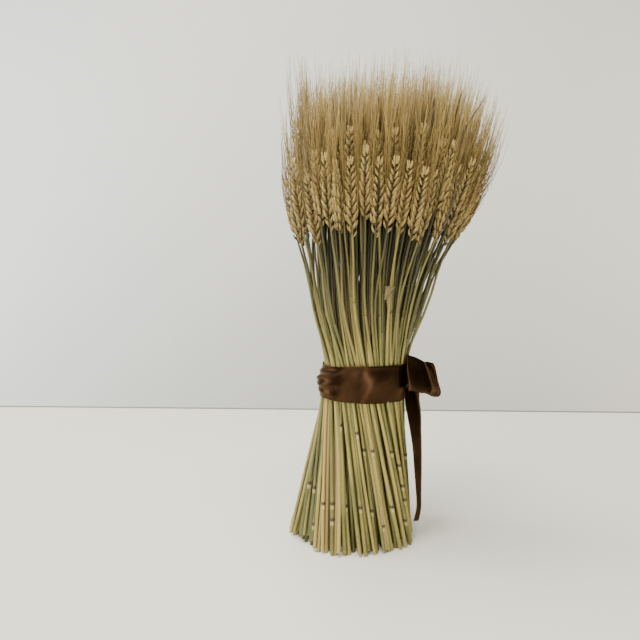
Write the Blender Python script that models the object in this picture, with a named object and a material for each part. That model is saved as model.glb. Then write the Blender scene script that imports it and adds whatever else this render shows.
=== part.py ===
"""A standing sheaf of dried bearded wheat, bound at its waist and tied with a satin ribbon and bow.

The sheaf stands on Z = 0 on its cut stalk ends, with the end of the middle stalk at the origin. Its front
faces -Y, and the bow is on the +X side. The stalks were twisted before they were tied, so each one is a
nearly straight line that passes the waist at a slant. Units are metres.
"""

import math
import random
from dataclasses import dataclass
from itertools import pairwise

import bmesh
import bpy
from mathutils import Matrix, Vector

SEED = 27
GAP = 0.0003

# The bundle: how its sections turn, grow and lean away from the waist
WAIST_HEIGHT = 0.180
WAIST_RING_RADIUS = 0.0413
FOOT_TWIST_PER_METRE = 6.3
HEAD_TWIST_PER_METRE = 3.9
FOOT_FLARE_PER_METRE = 0.5
HEAD_FLARE_PER_METRE = 5.5
FOOT_LEAN = 0.085
HEAD_LEAN = 0.155
HEAD_LEAN_FROM_HEIGHT = 0.250

# The ring of single stalks round the outside. They spread to two depths of ears by turns.
OUTER_STALKS = 46
OUTER_NECK_HEIGHT = 0.310
SECOND_NECK_HEIGHT = 0.339
SECOND_HEAD_FLARE_SHARE = 0.42
NECK_SCATTER = 0.009
SHORT_END_MOST = 0.0025
SHORT_END_SHARE = 0.3

# The stalks inside the ring
INNER_STALKS = 26
INNER_WAIST_RADIUS = 0.023
INNER_FOOT_FLARE_PER_METRE = 4.6
INNER_HEAD_FLARE_SHARE = 1.2
INNER_NECK_HEIGHT = 0.362
GOLDEN_ANGLE = math.radians(137.508)

# The packed middle of the bundle, a fluted body that the inner stalks stand out of. It is a little looser
# against the outer ring the further it is from the waist.
CORE_FLUTES = 34
CORE_HEIGHTS = (0.005, 0.095, 0.180, 0.235)
CORE_LOOSENESS = 0.050
CORE_TOP_HEIGHT = 0.254
CORE_TOP_SHARE = 0.62
FLUTE_DEPTH = 0.0015

# One stalk
STALK_SIDES = 6
FOOT_STEM_RADIUS = 0.00215
WAIST_STEM_RADIUS = 0.00205
NECK_STEM_RADIUS = 0.00130

# One ear: spikelets in two rows, left and right by turns
EAR_LENGTH = 0.073
EAR_LENGTH_SCATTER = 0.005
SPIKELETS = 10
EAR_HALF_WIDTH = 0.0061
EAR_HALF_DEPTH = 0.0052
GROOVE_SHARE = 0.60
SPIKELET_OVERLAP = 0.45
EAR_TIP_RADIUS = 0.0012
EAR_TIP_LENGTH = 0.002
# The sides of the section between two corners of one row, for the row of the even and of the odd spikelets
ROW_SIDES = ((0, 5), (2, 3))

# The beard
AWN_LENGTH = 0.064
AWN_LENGTH_SCATTER = 0.009
TIP_AWN_REACH = 0.0085
SIDE_AWNS = 3
SIDE_AWN_REACH = 0.0140
SIDE_AWN_ROOT = 0.0006
LOWEST_AWNED_SPIKELET = 4

# The scrap of dry leaf that peels away from one stalk of the front
LEAF_PLACE = (0.036, -0.048, 0.240)
LEAF_LENGTH = 0.034
LEAF_HALF_WIDTH = 0.0042
LEAF_THICKNESS = 0.0007
LEAF_ROOT_ASIDE = 0.0012
LEAF_PEEL = 0.011
LEAF_STATIONS = 5

# The binding under the ribbon
BINDING_HEIGHT = 0.168
BINDING_WIDTH = 0.0055
BINDING_THICKNESS = 0.0013
RING_SIDES = 36

# The ribbon's turn round the waist, and the knot of its bow
RIBBON_WIDTH = 0.038
RIBBON_THICKNESS = 0.0009
RIBBON_MIDDLE = 0.1675
BAND_STATIONS = 5
KNOT_SIZE = (0.012, 0.021, 0.027)
KNOT_BEVEL = 0.0035
KNOT_SINK = 0.0006

# The bow's two loops. Each is pinched where it leaves the knot.
LOOP_LENGTH = 0.052
LOOP_ROOT_ASIDE = 0.005
LOOP_ROOT_HALF_WIDTH = 0.009
LOOP_ROOT_HALF_OPENING = 0.0015
LOOP_HALF_OPENING = 0.011
LOOP_OUTWARD = math.radians(33)
LOOP_DROOP = 0.007
LOOP_TILT = math.radians(14)
LOOP_STATIONS = 13

# The bow's two tails, which start in the knot and hang nearly edge-on to the front
TAIL_LENGTHS = {"front": 0.132, "rear": 0.118}
TAIL_START = Vector((0.0015, 0.004, -0.006))
TAIL_ROOT_HALF_WIDTH = 0.005
TAIL_BULGE = 0.004
TAIL_SPREAD = 0.010
TAIL_TURN_TOP = math.radians(24)
TAIL_TURN_END = math.radians(6)
TAIL_STATIONS = 8

STRAW = (0.56, 0.50, 0.27)
EAR_GOLD = (0.55, 0.40, 0.18)
SATIN_BROWN = (0.050, 0.022, 0.011)
TWINE_TAN = (0.42, 0.30, 0.16)


@dataclass
class Stalk:
    """One stalk: where it passes the waist, how it spreads from there, and its ear."""

    name: str
    waist: complex
    foot_flare: float
    head_flare: float
    foot_height: float
    neck_height: float
    ear_length: float
    ear_turn: float
    seed: int

    def centre(self, height):
        """The point of the stalk's middle line at a height."""
        at = lean(height) + self.waist * spread(height, self.foot_flare, self.head_flare)
        return Vector((at.real, at.imag, height))


def lean(height):
    """How far the sheaf's middle stands to +X of its foot at a height."""
    return FOOT_LEAN * min(height, WAIST_HEIGHT) + HEAD_LEAN * max(height - HEAD_LEAN_FROM_HEIGHT, 0)


def straight_lean(height):
    """The lean along the straight run of an outer stalk, from its foot to the waist and on to its neck."""
    share = max(height - WAIST_HEIGHT, 0) / (OUTER_NECK_HEIGHT - WAIST_HEIGHT)
    return between(lean(min(height, WAIST_HEIGHT)), lean(OUTER_NECK_HEIGHT), share)


def spread(height, foot_flare, head_flare):
    """How the section at the waist has grown and turned by a height, as a complex factor."""
    rise = height - WAIST_HEIGHT
    if rise < 0:
        return complex(1 - foot_flare * rise, -FOOT_TWIST_PER_METRE * rise)
    return complex(1 + head_flare * rise, -HEAD_TWIST_PER_METRE * rise)


def stem_radius(height, neck_height=OUTER_NECK_HEIGHT):
    """The stem's radius at a height: nearly even up to the waist, then finer up to the ear."""
    if height <= WAIST_HEIGHT:
        return between(FOOT_STEM_RADIUS, WAIST_STEM_RADIUS, height / WAIST_HEIGHT)
    share = (height - WAIST_HEIGHT) / (neck_height - WAIST_HEIGHT)
    return between(WAIST_STEM_RADIUS, NECK_STEM_RADIUS, share)


def ring_reach(height):
    """How far out the sides of the outer stalks reach at a height."""
    factor = spread(height, FOOT_FLARE_PER_METRE, HEAD_FLARE_PER_METRE)
    return WAIST_RING_RADIUS * abs(factor) + stem_radius(height)


def flat_side_radius(clear_radius, sides):
    """The corner radius of a polygon whose flats lie at the clear radius."""
    return clear_radius / math.cos(math.pi / sides)


def between(first, last, share):
    """The value that lies a share of the way from the first to the last."""
    return first + (last - first) * share


def polar(radius, angle):
    """A point of the bundle's section, as a complex number."""
    return complex(radius * math.cos(angle), radius * math.sin(angle))


def outer_stalks():
    """The single stalks of the outer ring, in order round it."""
    draw = random.Random(SEED)
    stalks = []
    for i in range(OUTER_STALKS):
        second = i % 2 == 1
        short = draw.random() < SHORT_END_SHARE
        stalks.append(Stalk(
            name=f"stalk_{i + 1:02d}",
            waist=polar(WAIST_RING_RADIUS, math.tau * i / OUTER_STALKS),
            foot_flare=FOOT_FLARE_PER_METRE,
            head_flare=HEAD_FLARE_PER_METRE * (SECOND_HEAD_FLARE_SHARE if second else 1),
            foot_height=draw.uniform(0.0005, SHORT_END_MOST) if short else 0.0,
            neck_height=(SECOND_NECK_HEIGHT if second else OUTER_NECK_HEIGHT)
            + draw.uniform(-NECK_SCATTER, NECK_SCATTER),
            ear_length=EAR_LENGTH + draw.uniform(-EAR_LENGTH_SCATTER, EAR_LENGTH_SCATTER),
            ear_turn=draw.uniform(0, math.pi),
            seed=SEED * 1000 + i,
        ))
    return stalks


def inner_stalks():
    """The stalks inside the ring, spread evenly over its section from the middle outwards."""
    draw = random.Random(SEED + 1)
    stalks = []
    for i in range(INNER_STALKS):
        share = math.sqrt(i / (INNER_STALKS - 1))
        stalks.append(Stalk(
            name=f"inner_{i + 1:02d}",
            waist=polar(INNER_WAIST_RADIUS * share, GOLDEN_ANGLE * i),
            foot_flare=INNER_FOOT_FLARE_PER_METRE,
            head_flare=HEAD_FLARE_PER_METRE * INNER_HEAD_FLARE_SHARE,
            foot_height=0.0,
            neck_height=INNER_NECK_HEIGHT + draw.uniform(-NECK_SCATTER, NECK_SCATTER),
            ear_length=EAR_LENGTH + draw.uniform(-EAR_LENGTH_SCATTER, EAR_LENGTH_SCATTER),
            ear_turn=draw.uniform(0, math.pi),
            seed=SEED * 2000 + i,
        ))
    return stalks


def finish_material(name, colour, roughness):
    """A plain Principled material."""
    material = bpy.data.materials.new(name)
    material.use_nodes = True
    shader = material.node_tree.nodes["Principled BSDF"]
    shader.inputs["Base Color"].default_value = (*colour, 1)
    shader.inputs["Roughness"].default_value = roughness
    shader.inputs["Metallic"].default_value = 0
    return material


def add_object(name, bm, materials):
    """Turns a bmesh into a named object of the scene."""
    mesh = bpy.data.meshes.new(name)
    bm.to_mesh(mesh)
    bm.free()
    for material in materials:
        mesh.materials.append(material)
    obj = bpy.data.objects.new(name, mesh)
    bpy.context.scene.collection.objects.link(obj)
    return obj


def loft(bm, rings):
    """Skins rings of corners into one closed body. Returns the side faces, ring by ring, and the top."""
    loops = [[bm.verts.new(corner) for corner in ring] for ring in rings]
    bands = []
    for low, high in pairwise(loops):
        count = len(low)
        bands.append([
            bm.faces.new((low[k], low[(k + 1) % count], high[(k + 1) % count], high[k]))
            for k in range(count)
        ])
    bm.faces.new(loops[0][::-1])
    return bands, bm.faces.new(loops[-1])


def round_section(centre, radius, turn):
    """The corners of a round section of a stalk."""
    angles = [turn + math.tau * k / STALK_SIDES for k in range(STALK_SIDES)]
    return [centre + Vector((radius * math.cos(a), radius * math.sin(a), 0)) for a in angles]


def ear_section(stalk, index):
    """The ear's section where one row's spikelet stands out and the other row's is at its groove."""
    along = (index + 0.5) / SPIKELETS
    raised = SPIKELET_OVERLAP * stalk.ear_length / SPIKELETS
    # The ear is fullest a little below its middle and tapers more towards its tip.
    fullness = 0.70 + 0.30 * math.sin(math.pi * min(1.0, along + 0.12)) - 0.22 * along**3
    turned = Matrix.Rotation(stalk.ear_turn, 3, "Z")
    corners = []
    for k in range(STALK_SIDES):
        angle = math.tau * k / STALK_SIDES
        stands_out = (math.cos(angle) > 0) == (index % 2 == 0)
        share = fullness * (1 if stands_out else GROOVE_SHARE)
        corner = Vector((EAR_HALF_WIDTH * math.cos(angle), EAR_HALF_DEPTH * math.sin(angle), 0)) * share
        level = stalk.neck_height + stalk.ear_length * along + (raised if stands_out else 0)
        corners.append(stalk.centre(level) + turned @ corner)
    return corners


def pull_awn(bm, face, stalk, top, reach):
    """Draws a small face out to an awn's point, which stands off the stalk's line by reach at its top."""
    start = face.calc_center_median()
    away = start - stalk.centre(start.z)
    away.z = 0
    apex = bmesh.ops.poke(bm, faces=[face])["verts"][0]
    apex.co = stalk.centre(top) + away.normalized() * reach


def add_tip_awns(bm, stalk, cap, draw):
    """The awns of the topmost spikelet, one from each wedge of the ear's tip."""
    for k, wedge in enumerate(bmesh.ops.poke(bm, faces=[cap])["faces"]):
        length = AWN_LENGTH + draw.uniform(-AWN_LENGTH_SCATTER, AWN_LENGTH_SCATTER)
        reach = TIP_AWN_REACH * (0.5 if k % 2 else 1.0)
        pull_awn(bm, wedge, stalk, stalk.neck_height + stalk.ear_length + length, reach)


def add_side_awn(bm, stalk, ledge, draw):
    """An awn from the ledge over a spikelet."""
    face = bmesh.ops.triangulate(bm, faces=[ledge])["faces"][0]
    bmesh.ops.inset_individual(bm, faces=[face], thickness=SIDE_AWN_ROOT / 4)
    middle = face.calc_center_median()
    for vert in face.verts:
        vert.co = middle + (vert.co - middle).normalized() * SIDE_AWN_ROOT
    length = AWN_LENGTH + draw.uniform(-AWN_LENGTH_SCATTER, AWN_LENGTH_SCATTER)
    pull_awn(bm, face, stalk, middle.z + length, SIDE_AWN_REACH)


def stalk_bmesh(stalk, side_awns):
    """The closed mesh of a stem with its ear and its awns, from the cut end up."""
    draw = random.Random(stalk.seed)
    neck, turn = stalk.neck_height, stalk.ear_turn
    stem = [
        round_section(stalk.centre(height), stem_radius(height, neck), turn)
        for height in (stalk.foot_height, WAIST_HEIGHT, neck)
    ]
    ear = [ear_section(stalk, index) for index in range(SPIKELETS)]
    tip = round_section(stalk.centre(neck + stalk.ear_length + EAR_TIP_LENGTH), EAR_TIP_RADIUS, turn)
    bm = bmesh.new()
    bands, cap = loft(bm, [*stem, *ear, tip])
    for band in bands[len(stem) - 1:]:
        for face in band:
            face.material_index = 1
    cap.material_index = 1
    add_tip_awns(bm, stalk, cap, draw)
    for index in draw.sample(range(LOWEST_AWNED_SPIKELET, SPIKELETS), side_awns):
        add_side_awn(bm, stalk, bands[len(stem) + index][draw.choice(ROW_SIDES[index % 2])], draw)
    bmesh.ops.triangulate(bm, faces=bm.faces)
    return bm


def union(obj, others, solver="EXACT"):
    """Joins the others to obj with one Boolean on a collection, applies it and removes them."""
    group = bpy.data.collections.new(obj.name + "_parts")
    bpy.context.scene.collection.children.link(group)
    for other in others:
        bpy.context.scene.collection.objects.unlink(other)
        group.objects.link(other)
    modifier = obj.modifiers.new("joined", "BOOLEAN")
    modifier.operation = "UNION"
    modifier.operand_type = "COLLECTION"
    modifier.collection = group
    modifier.solver = solver
    bpy.context.view_layer.update()
    joined = obj.evaluated_get(bpy.context.evaluated_depsgraph_get())
    mesh = bpy.data.meshes.new_from_object(joined)
    mesh.name = obj.name
    obj.modifiers.clear()
    obj.data = mesh
    for other in others:
        bpy.data.objects.remove(other)
    bpy.data.collections.remove(group)


def core_bmesh():
    """The packed middle of the bundle, with a flute for each stem at its surface and a low domed top."""
    def ring(height, share=1.0, flute=FLUTE_DEPTH):
        factor = spread(height, FOOT_FLARE_PER_METRE, HEAD_FLARE_PER_METRE * SECOND_HEAD_FLARE_SHARE)
        looseness = CORE_LOOSENESS * abs(height - WAIST_HEIGHT)
        reach = WAIST_RING_RADIUS * abs(factor) - stem_radius(height) - GAP - looseness
        turn = math.atan2(factor.imag, factor.real)
        corners = []
        for k in range(2 * CORE_FLUTES):
            radius = (reach - flute * (k % 2)) * share
            at = straight_lean(height) + polar(radius, turn + math.pi * k / CORE_FLUTES)
            corners.append((at.real, at.imag, height))
        return corners

    bm = bmesh.new()
    loft(bm, [ring(height) for height in CORE_HEIGHTS] + [ring(CORE_TOP_HEIGHT, CORE_TOP_SHARE, 0)])
    bmesh.ops.triangulate(bm, faces=bm.faces)
    return bm


def turned_ring(profile):
    """A closed ring turned from a profile of (radius, height) that leans with the sheaf."""
    bm = bmesh.new()
    verts = [bm.verts.new((radius, 0, height)) for radius, height in profile]
    edges = [bm.edges.new((verts[k - 1], verts[k])) for k in range(len(verts))]
    bmesh.ops.spin(bm, geom=verts + edges, axis=(0, 0, 1), angle=math.tau, steps=RING_SIDES, use_merge=True)
    for vert in bm.verts:
        vert.co.x += straight_lean(vert.co.z)
    bmesh.ops.recalc_face_normals(bm, faces=bm.faces)
    return bm


def binding_radius():
    """The corner radius of the binding's inner side, which just clears the stalks."""
    return flat_side_radius(ring_reach(BINDING_HEIGHT - BINDING_WIDTH / 2) + GAP, RING_SIDES)


def band_radius(height):
    """The corner radius of the ribbon's inner side: on the stalks at its edges, over the binding between."""
    across = (height - RIBBON_MIDDLE) / (RIBBON_WIDTH / 2)
    edge = flat_side_radius(ring_reach(height) + GAP, RING_SIDES)
    over_binding = binding_radius() + BINDING_THICKNESS + 2 * GAP
    return edge + max(over_binding - edge, 0) * math.cos(across * math.pi / 2)


def band_bmesh():
    """The ribbon's turn round the waist."""
    heights = [RIBBON_MIDDLE + RIBBON_WIDTH * (k / (BAND_STATIONS - 1) - 0.5) for k in range(BAND_STATIONS)]
    inner = [(band_radius(height), height) for height in heights]
    outer = [(radius + RIBBON_THICKNESS, height) for radius, height in reversed(inner)]
    return turned_ring(inner + outer)


def strip_bmesh(line, widths, thickness):
    """A closed strip of cloth along a line of points, with a vector from its middle to its edge at each."""
    rings = []
    for i, (point, width) in enumerate(zip(line, widths, strict=True)):
        along = line[min(i + 1, len(line) - 1)] - line[max(i - 1, 0)]
        normal = along.cross(width).normalized() * (thickness / 2)
        rings.append((point - width - normal, point + width - normal, point + width + normal,
                      point - width + normal))
    bm = bmesh.new()
    loft(bm, rings)
    bmesh.ops.triangulate(bm, faces=bm.faces)
    bmesh.ops.recalc_face_normals(bm, faces=bm.faces)
    return bm


def knot_centre():
    """The middle of the bow's knot, on the band at the +X side."""
    reach = band_radius(RIBBON_MIDDLE) + RIBBON_THICKNESS - KNOT_SINK + KNOT_SIZE[0] / 2
    return Vector((lean(RIBBON_MIDDLE) + reach, 0, RIBBON_MIDDLE))


def loop_bmesh(side):
    """A loop of the bow: out from the knot, round its fold and back, with both its ends in the knot."""
    out = Vector((math.sin(LOOP_OUTWARD), side * math.cos(LOOP_OUTWARD), 0))
    beside = Vector((-out.y, out.x, 0))
    root = knot_centre() + Vector((0, side * LOOP_ROOT_ASIDE, 0))
    line, widths = [], []
    for i in range(LOOP_STATIONS):
        turn = math.pi * i / (LOOP_STATIONS - 1)
        far = math.sin(turn)
        opening = between(LOOP_ROOT_HALF_OPENING, LOOP_HALF_OPENING, far) * math.cos(turn)
        line.append(root + out * (LOOP_LENGTH * far) + beside * opening - Vector((0, 0, LOOP_DROOP * far)))
        tilt = LOOP_TILT * far
        upwards = Vector((0, 0, math.cos(tilt))) - out * math.sin(tilt)
        widths.append(upwards * between(LOOP_ROOT_HALF_WIDTH, RIBBON_WIDTH / 2, min(1.0, 1.8 * far)))
    return strip_bmesh(line, widths, RIBBON_THICKNESS)


def tail_bmesh(side, length):
    """A hanging end of the ribbon, which leaves the knot at its lower side."""
    start = knot_centre() + Vector((-side * TAIL_START.x, side * TAIL_START.y, TAIL_START.z))
    line, widths = [], []
    for i in range(TAIL_STATIONS):
        share = i / (TAIL_STATIONS - 1)
        bulge = TAIL_BULGE * math.sin(math.pi * share)
        line.append(start + Vector((bulge, side * TAIL_SPREAD * share, -length * share)))
        turn = -side * between(TAIL_TURN_TOP, TAIL_TURN_END, share)
        half = between(TAIL_ROOT_HALF_WIDTH, RIBBON_WIDTH / 2, min(1.0, 3.5 * share))
        widths.append(Vector((math.sin(turn), math.cos(turn), 0)) * half)
    return strip_bmesh(line, widths, RIBBON_THICKNESS)


def knot_bmesh():
    """The bow's knot, a plump block with rounded edges."""
    bm = bmesh.new()
    bmesh.ops.create_cube(bm, size=1)
    bmesh.ops.scale(bm, verts=bm.verts, vec=KNOT_SIZE)
    bmesh.ops.bevel(bm, geom=bm.edges, offset=KNOT_BEVEL, segments=2, profile=0.5, affect="EDGES")
    bmesh.ops.translate(bm, verts=bm.verts, vec=knot_centre())
    return bm


def leaf_bmesh(stalk):
    """A scrap of dry leaf that peels away from a stalk, widest past its middle."""
    root = stalk.centre(LEAF_PLACE[2])
    away = (root - Vector((lean(root.z), 0, root.z))).normalized()
    side = Vector((-away.y, away.x, 0))
    line, widths = [], []
    for i in range(LEAF_STATIONS):
        share = i / (LEAF_STATIONS - 1)
        peel = away * (LEAF_ROOT_ASIDE + LEAF_PEEL * share**1.6)
        line.append(root + peel + Vector((0, 0, LEAF_LENGTH * share)))
        widths.append(side * LEAF_HALF_WIDTH * (0.35 + 0.65 * math.sin(math.pi * (0.15 + 0.8 * share))))
    return strip_bmesh(line, widths, LEAF_THICKNESS)


def build_outer_stalks(materials):
    """The ring of single stalks, one of them with the scrap of leaf."""
    stalks = outer_stalks()
    place = Vector(LEAF_PLACE)
    leafy = min(stalks, key=lambda stalk: (stalk.centre(place.z) - place).length)
    for stalk in stalks:
        obj = add_object(stalk.name, stalk_bmesh(stalk, SIDE_AWNS), materials)
        if stalk is leafy:
            union(obj, [add_object("leaf", leaf_bmesh(stalk), materials)])


def build_inner_stalks(materials):
    """The inner stalks, joined through the packed middle into one body."""
    core = add_object("inner_stalks", core_bmesh(), materials)
    stalks = [add_object(stalk.name, stalk_bmesh(stalk, SIDE_AWNS - 1), materials) for stalk in inner_stalks()]
    union(core, stalks, "MANIFOLD")


def build_binding(twine):
    """The binding that holds the stalks together under the ribbon."""
    inner = binding_radius()
    low, high = BINDING_HEIGHT - BINDING_WIDTH / 2, BINDING_HEIGHT + BINDING_WIDTH / 2
    outer = inner + BINDING_THICKNESS
    profile = ((inner, low), (outer, low), (outer, high), (inner, high))
    add_object("binding_band", turned_ring(profile), (twine,))


def build_ribbon(satin):
    """The ribbon: its turn round the waist, knot, two loops and two tails, one length of cloth."""
    ribbon = add_object("ribbon", band_bmesh(), (satin,))
    parts = [add_object("knot", knot_bmesh(), (satin,))]
    for name, side in (("front", -1), ("rear", 1)):
        parts.append(add_object("loop_" + name, loop_bmesh(side), (satin,)))
        parts.append(add_object("tail_" + name, tail_bmesh(side, TAIL_LENGTHS[name]), (satin,)))
    union(ribbon, parts)


def main():
    """Clears the scene and builds the sheaf."""
    for obj in list(bpy.data.objects):
        bpy.data.objects.remove(obj)
    wheat = (finish_material("wheat_straw", STRAW, 0.55), finish_material("wheat_ear", EAR_GOLD, 0.6))
    build_outer_stalks(wheat)
    build_inner_stalks(wheat)
    build_binding(finish_material("binding_twine", TWINE_TAN, 0.9))
    build_ribbon(finish_material("satin", SATIN_BROWN, 0.35))


if __name__ == "__main__":
    main()
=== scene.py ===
"""The looks of a standing sheaf of dried bearded wheat, tied with a brown satin ribbon and bow.

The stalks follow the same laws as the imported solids: a bundle that was twisted before it was tied, so that
each stalk is a nearly straight line through the waist. Sections of the bundle are complex numbers, x + iy,
measured from the sheaf's leaning middle. Units are metres, and the front faces -Y.
"""

import cmath
import logging
import math
import random
from dataclasses import dataclass, field
from enum import Enum, IntEnum
from typing import NamedTuple

import bpy
import numpy as np
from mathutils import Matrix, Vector


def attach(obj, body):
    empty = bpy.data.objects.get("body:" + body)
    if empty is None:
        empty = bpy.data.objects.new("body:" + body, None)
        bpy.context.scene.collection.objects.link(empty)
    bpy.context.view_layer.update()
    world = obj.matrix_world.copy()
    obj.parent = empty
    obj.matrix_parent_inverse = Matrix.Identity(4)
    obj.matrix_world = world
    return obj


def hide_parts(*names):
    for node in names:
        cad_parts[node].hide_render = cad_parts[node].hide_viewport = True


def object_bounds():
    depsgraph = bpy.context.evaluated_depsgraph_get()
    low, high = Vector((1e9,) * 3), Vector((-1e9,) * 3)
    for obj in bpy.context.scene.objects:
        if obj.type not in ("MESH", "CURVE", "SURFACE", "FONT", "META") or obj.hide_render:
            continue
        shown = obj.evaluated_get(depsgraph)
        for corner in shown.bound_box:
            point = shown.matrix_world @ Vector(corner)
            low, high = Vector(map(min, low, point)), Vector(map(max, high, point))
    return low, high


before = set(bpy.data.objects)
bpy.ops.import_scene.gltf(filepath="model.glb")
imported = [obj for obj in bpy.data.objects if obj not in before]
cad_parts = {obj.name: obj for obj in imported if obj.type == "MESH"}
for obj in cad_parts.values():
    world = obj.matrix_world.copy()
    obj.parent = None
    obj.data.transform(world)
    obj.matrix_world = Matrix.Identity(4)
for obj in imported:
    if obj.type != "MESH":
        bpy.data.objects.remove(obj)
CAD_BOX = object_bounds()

LOG = logging.getLogger("wheat_sheaf")
BODY = "root"
SEED = 27
GOLDEN_ANGLE = math.radians(137.508)
PAINT = "growth"
CLOTH = "cloth"
MM_PER_METRE = 1000
TINY = 1e-9
FAR = 1e9
# How far apart the colours and the noise of two stalks lie
OWN_STRIDE = 0.618
OWN_NOISE = 37.0
# What keeps a direction clear of zero, and what decides between two sides that are equally near
OFF_AXIS = 1e-6
WIDE_WEIGHT = 0.01
# The sockets of the nodes that mix colours and that stretch a range
MIX_INPUTS = (0, 6, 7)
MIX_OUTPUT = 2
SPAN_INPUTS = ("Value", "From Min", "From Max", "To Min", "To Max")

Material = bpy.types.Material
Socket = bpy.types.NodeSocket
Colour = tuple[float, float, float]
Place = tuple[float, float, float]
# A relief's strength and its height in metres
Relief = tuple[float, float]
# The low and high end of a value's range, and what they become
Span = tuple[float, float, float, float]


class Zone(Enum):
    """A region of the map that surfaces are laid out on: left, right and how tall its cells are."""

    STEM = (0.0, 0.20, 60.0)
    FLORET = (0.20, 0.78, 1.3)
    AWN = (0.78, 1.0, 24.0)


class Coat(IntEnum):
    """The material slot of a finish on a stalk."""

    STRAW = 0
    EAR = 1
    AWN = 2
    LEAF = 3


class Depth(Enum):
    """Where a stalk stands in the sheaf, which sets how finely it is built."""

    OUTER = "outer"
    NEXT = "next"
    PACKED = "packed"


STEM_SIDES = {Depth.OUTER: 9, Depth.NEXT: 8, Depth.PACKED: 5}
EAR_ROOM = {Depth.OUTER: 0.0064, Depth.NEXT: 0.0056, Depth.PACKED: 0.0045}


# The form of the bundle


@dataclass(frozen=True)
class SheafForm:
    """How the bundle turns, grows and leans away from its waist."""

    waist_height: float = 0.180
    ring_radius: float = 0.0413
    foot_twist: float = 6.3
    head_twist: float = 3.9
    foot_flare: float = 0.5
    head_flare: float = 5.5
    foot_lean: float = 0.085
    head_lean: float = 0.155
    head_lean_from: float = 0.250
    lean_bend: float = 0.03
    neck_height: float = 0.310
    foot_radius: float = 0.00212
    waist_radius: float = 0.00186
    neck_radius: float = 0.00120
    ear_swell: float = 0.075
    swell_between: tuple[float, float] = (0.270, 0.328)

    def lean(self, height: np.ndarray) -> np.ndarray:
        """How far the sheaf's middle stands to +X of its foot.

        Args:
            height: Heights over the table.

        Returns:
            The offset at each height, with a soft bend where the head starts to lean.
        """
        rise = np.asarray(height, float) - self.head_lean_from
        soft = (rise + np.sqrt(rise**2 + self.lean_bend**2)) / 2
        return self.foot_lean * np.minimum(height, self.waist_height) + self.head_lean * soft

    def spread(self, height: float, head_flare: float) -> complex:
        """How the section at the waist has grown and turned by a height.

        Args:
            height: The height over the table.
            head_flare: Growth per metre over the waist.

        Returns:
            The complex factor on the section at the waist.
        """
        rise = height - self.waist_height
        if rise < 0:
            return complex(1 - self.foot_flare * rise, -self.foot_twist * rise)
        return complex(1 + head_flare * rise, -self.head_twist * rise)

    def flare_to(self, waist: float, reach: float, height: float) -> float:
        """The head flare that takes a stalk out to a distance from the middle.

        Args:
            waist: The stalk's distance from the middle at the waist.
            reach: Its distance from the middle at the height.
            height: The height over the table.

        Returns:
            Growth per metre over the waist.
        """
        rise = height - self.waist_height
        turned = self.head_twist * rise
        return (math.sqrt(max((reach / waist) ** 2 - turned**2, 1.0)) - 1) / rise

    def stem_radius(self, height: np.ndarray, neck: float) -> np.ndarray:
        """The stem's radius at each height: nearly even up to the waist, then finer up to its neck."""
        stops = (0.0, self.waist_height, neck)
        return np.interp(height, stops, (self.foot_radius, self.waist_radius, self.neck_radius))

    def ring_reach(self, height: float) -> float:
        """How far out the sides of the outer stalks reach at a height."""
        reach = self.ring_radius * abs(self.spread(height, self.head_flare))
        return reach + float(self.stem_radius(np.array(height), self.neck_height))

    def straight_lean(self, height: np.ndarray) -> np.ndarray:
        """The lean along the straight run of an outer stalk, which the ribbon's turn follows.

        Args:
            height: Heights over the table.

        Returns:
            The offset to +X at each height.
        """
        share = np.maximum(np.asarray(height) - self.waist_height, 0) / (self.neck_height - self.waist_height)
        low = self.foot_lean * np.minimum(height, self.waist_height)
        over = float(self.lean(self.neck_height)) - float(self.lean(self.waist_height))
        return low + share * over


FORM = SheafForm()


# Meshes made of many closed tubes


@dataclass
class Batch:
    """Tubes of one kind: rings of corners, their growth colours, their map zone and their finish."""

    zone: Zone
    rings: np.ndarray
    paint: np.ndarray
    coat: Coat


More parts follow.
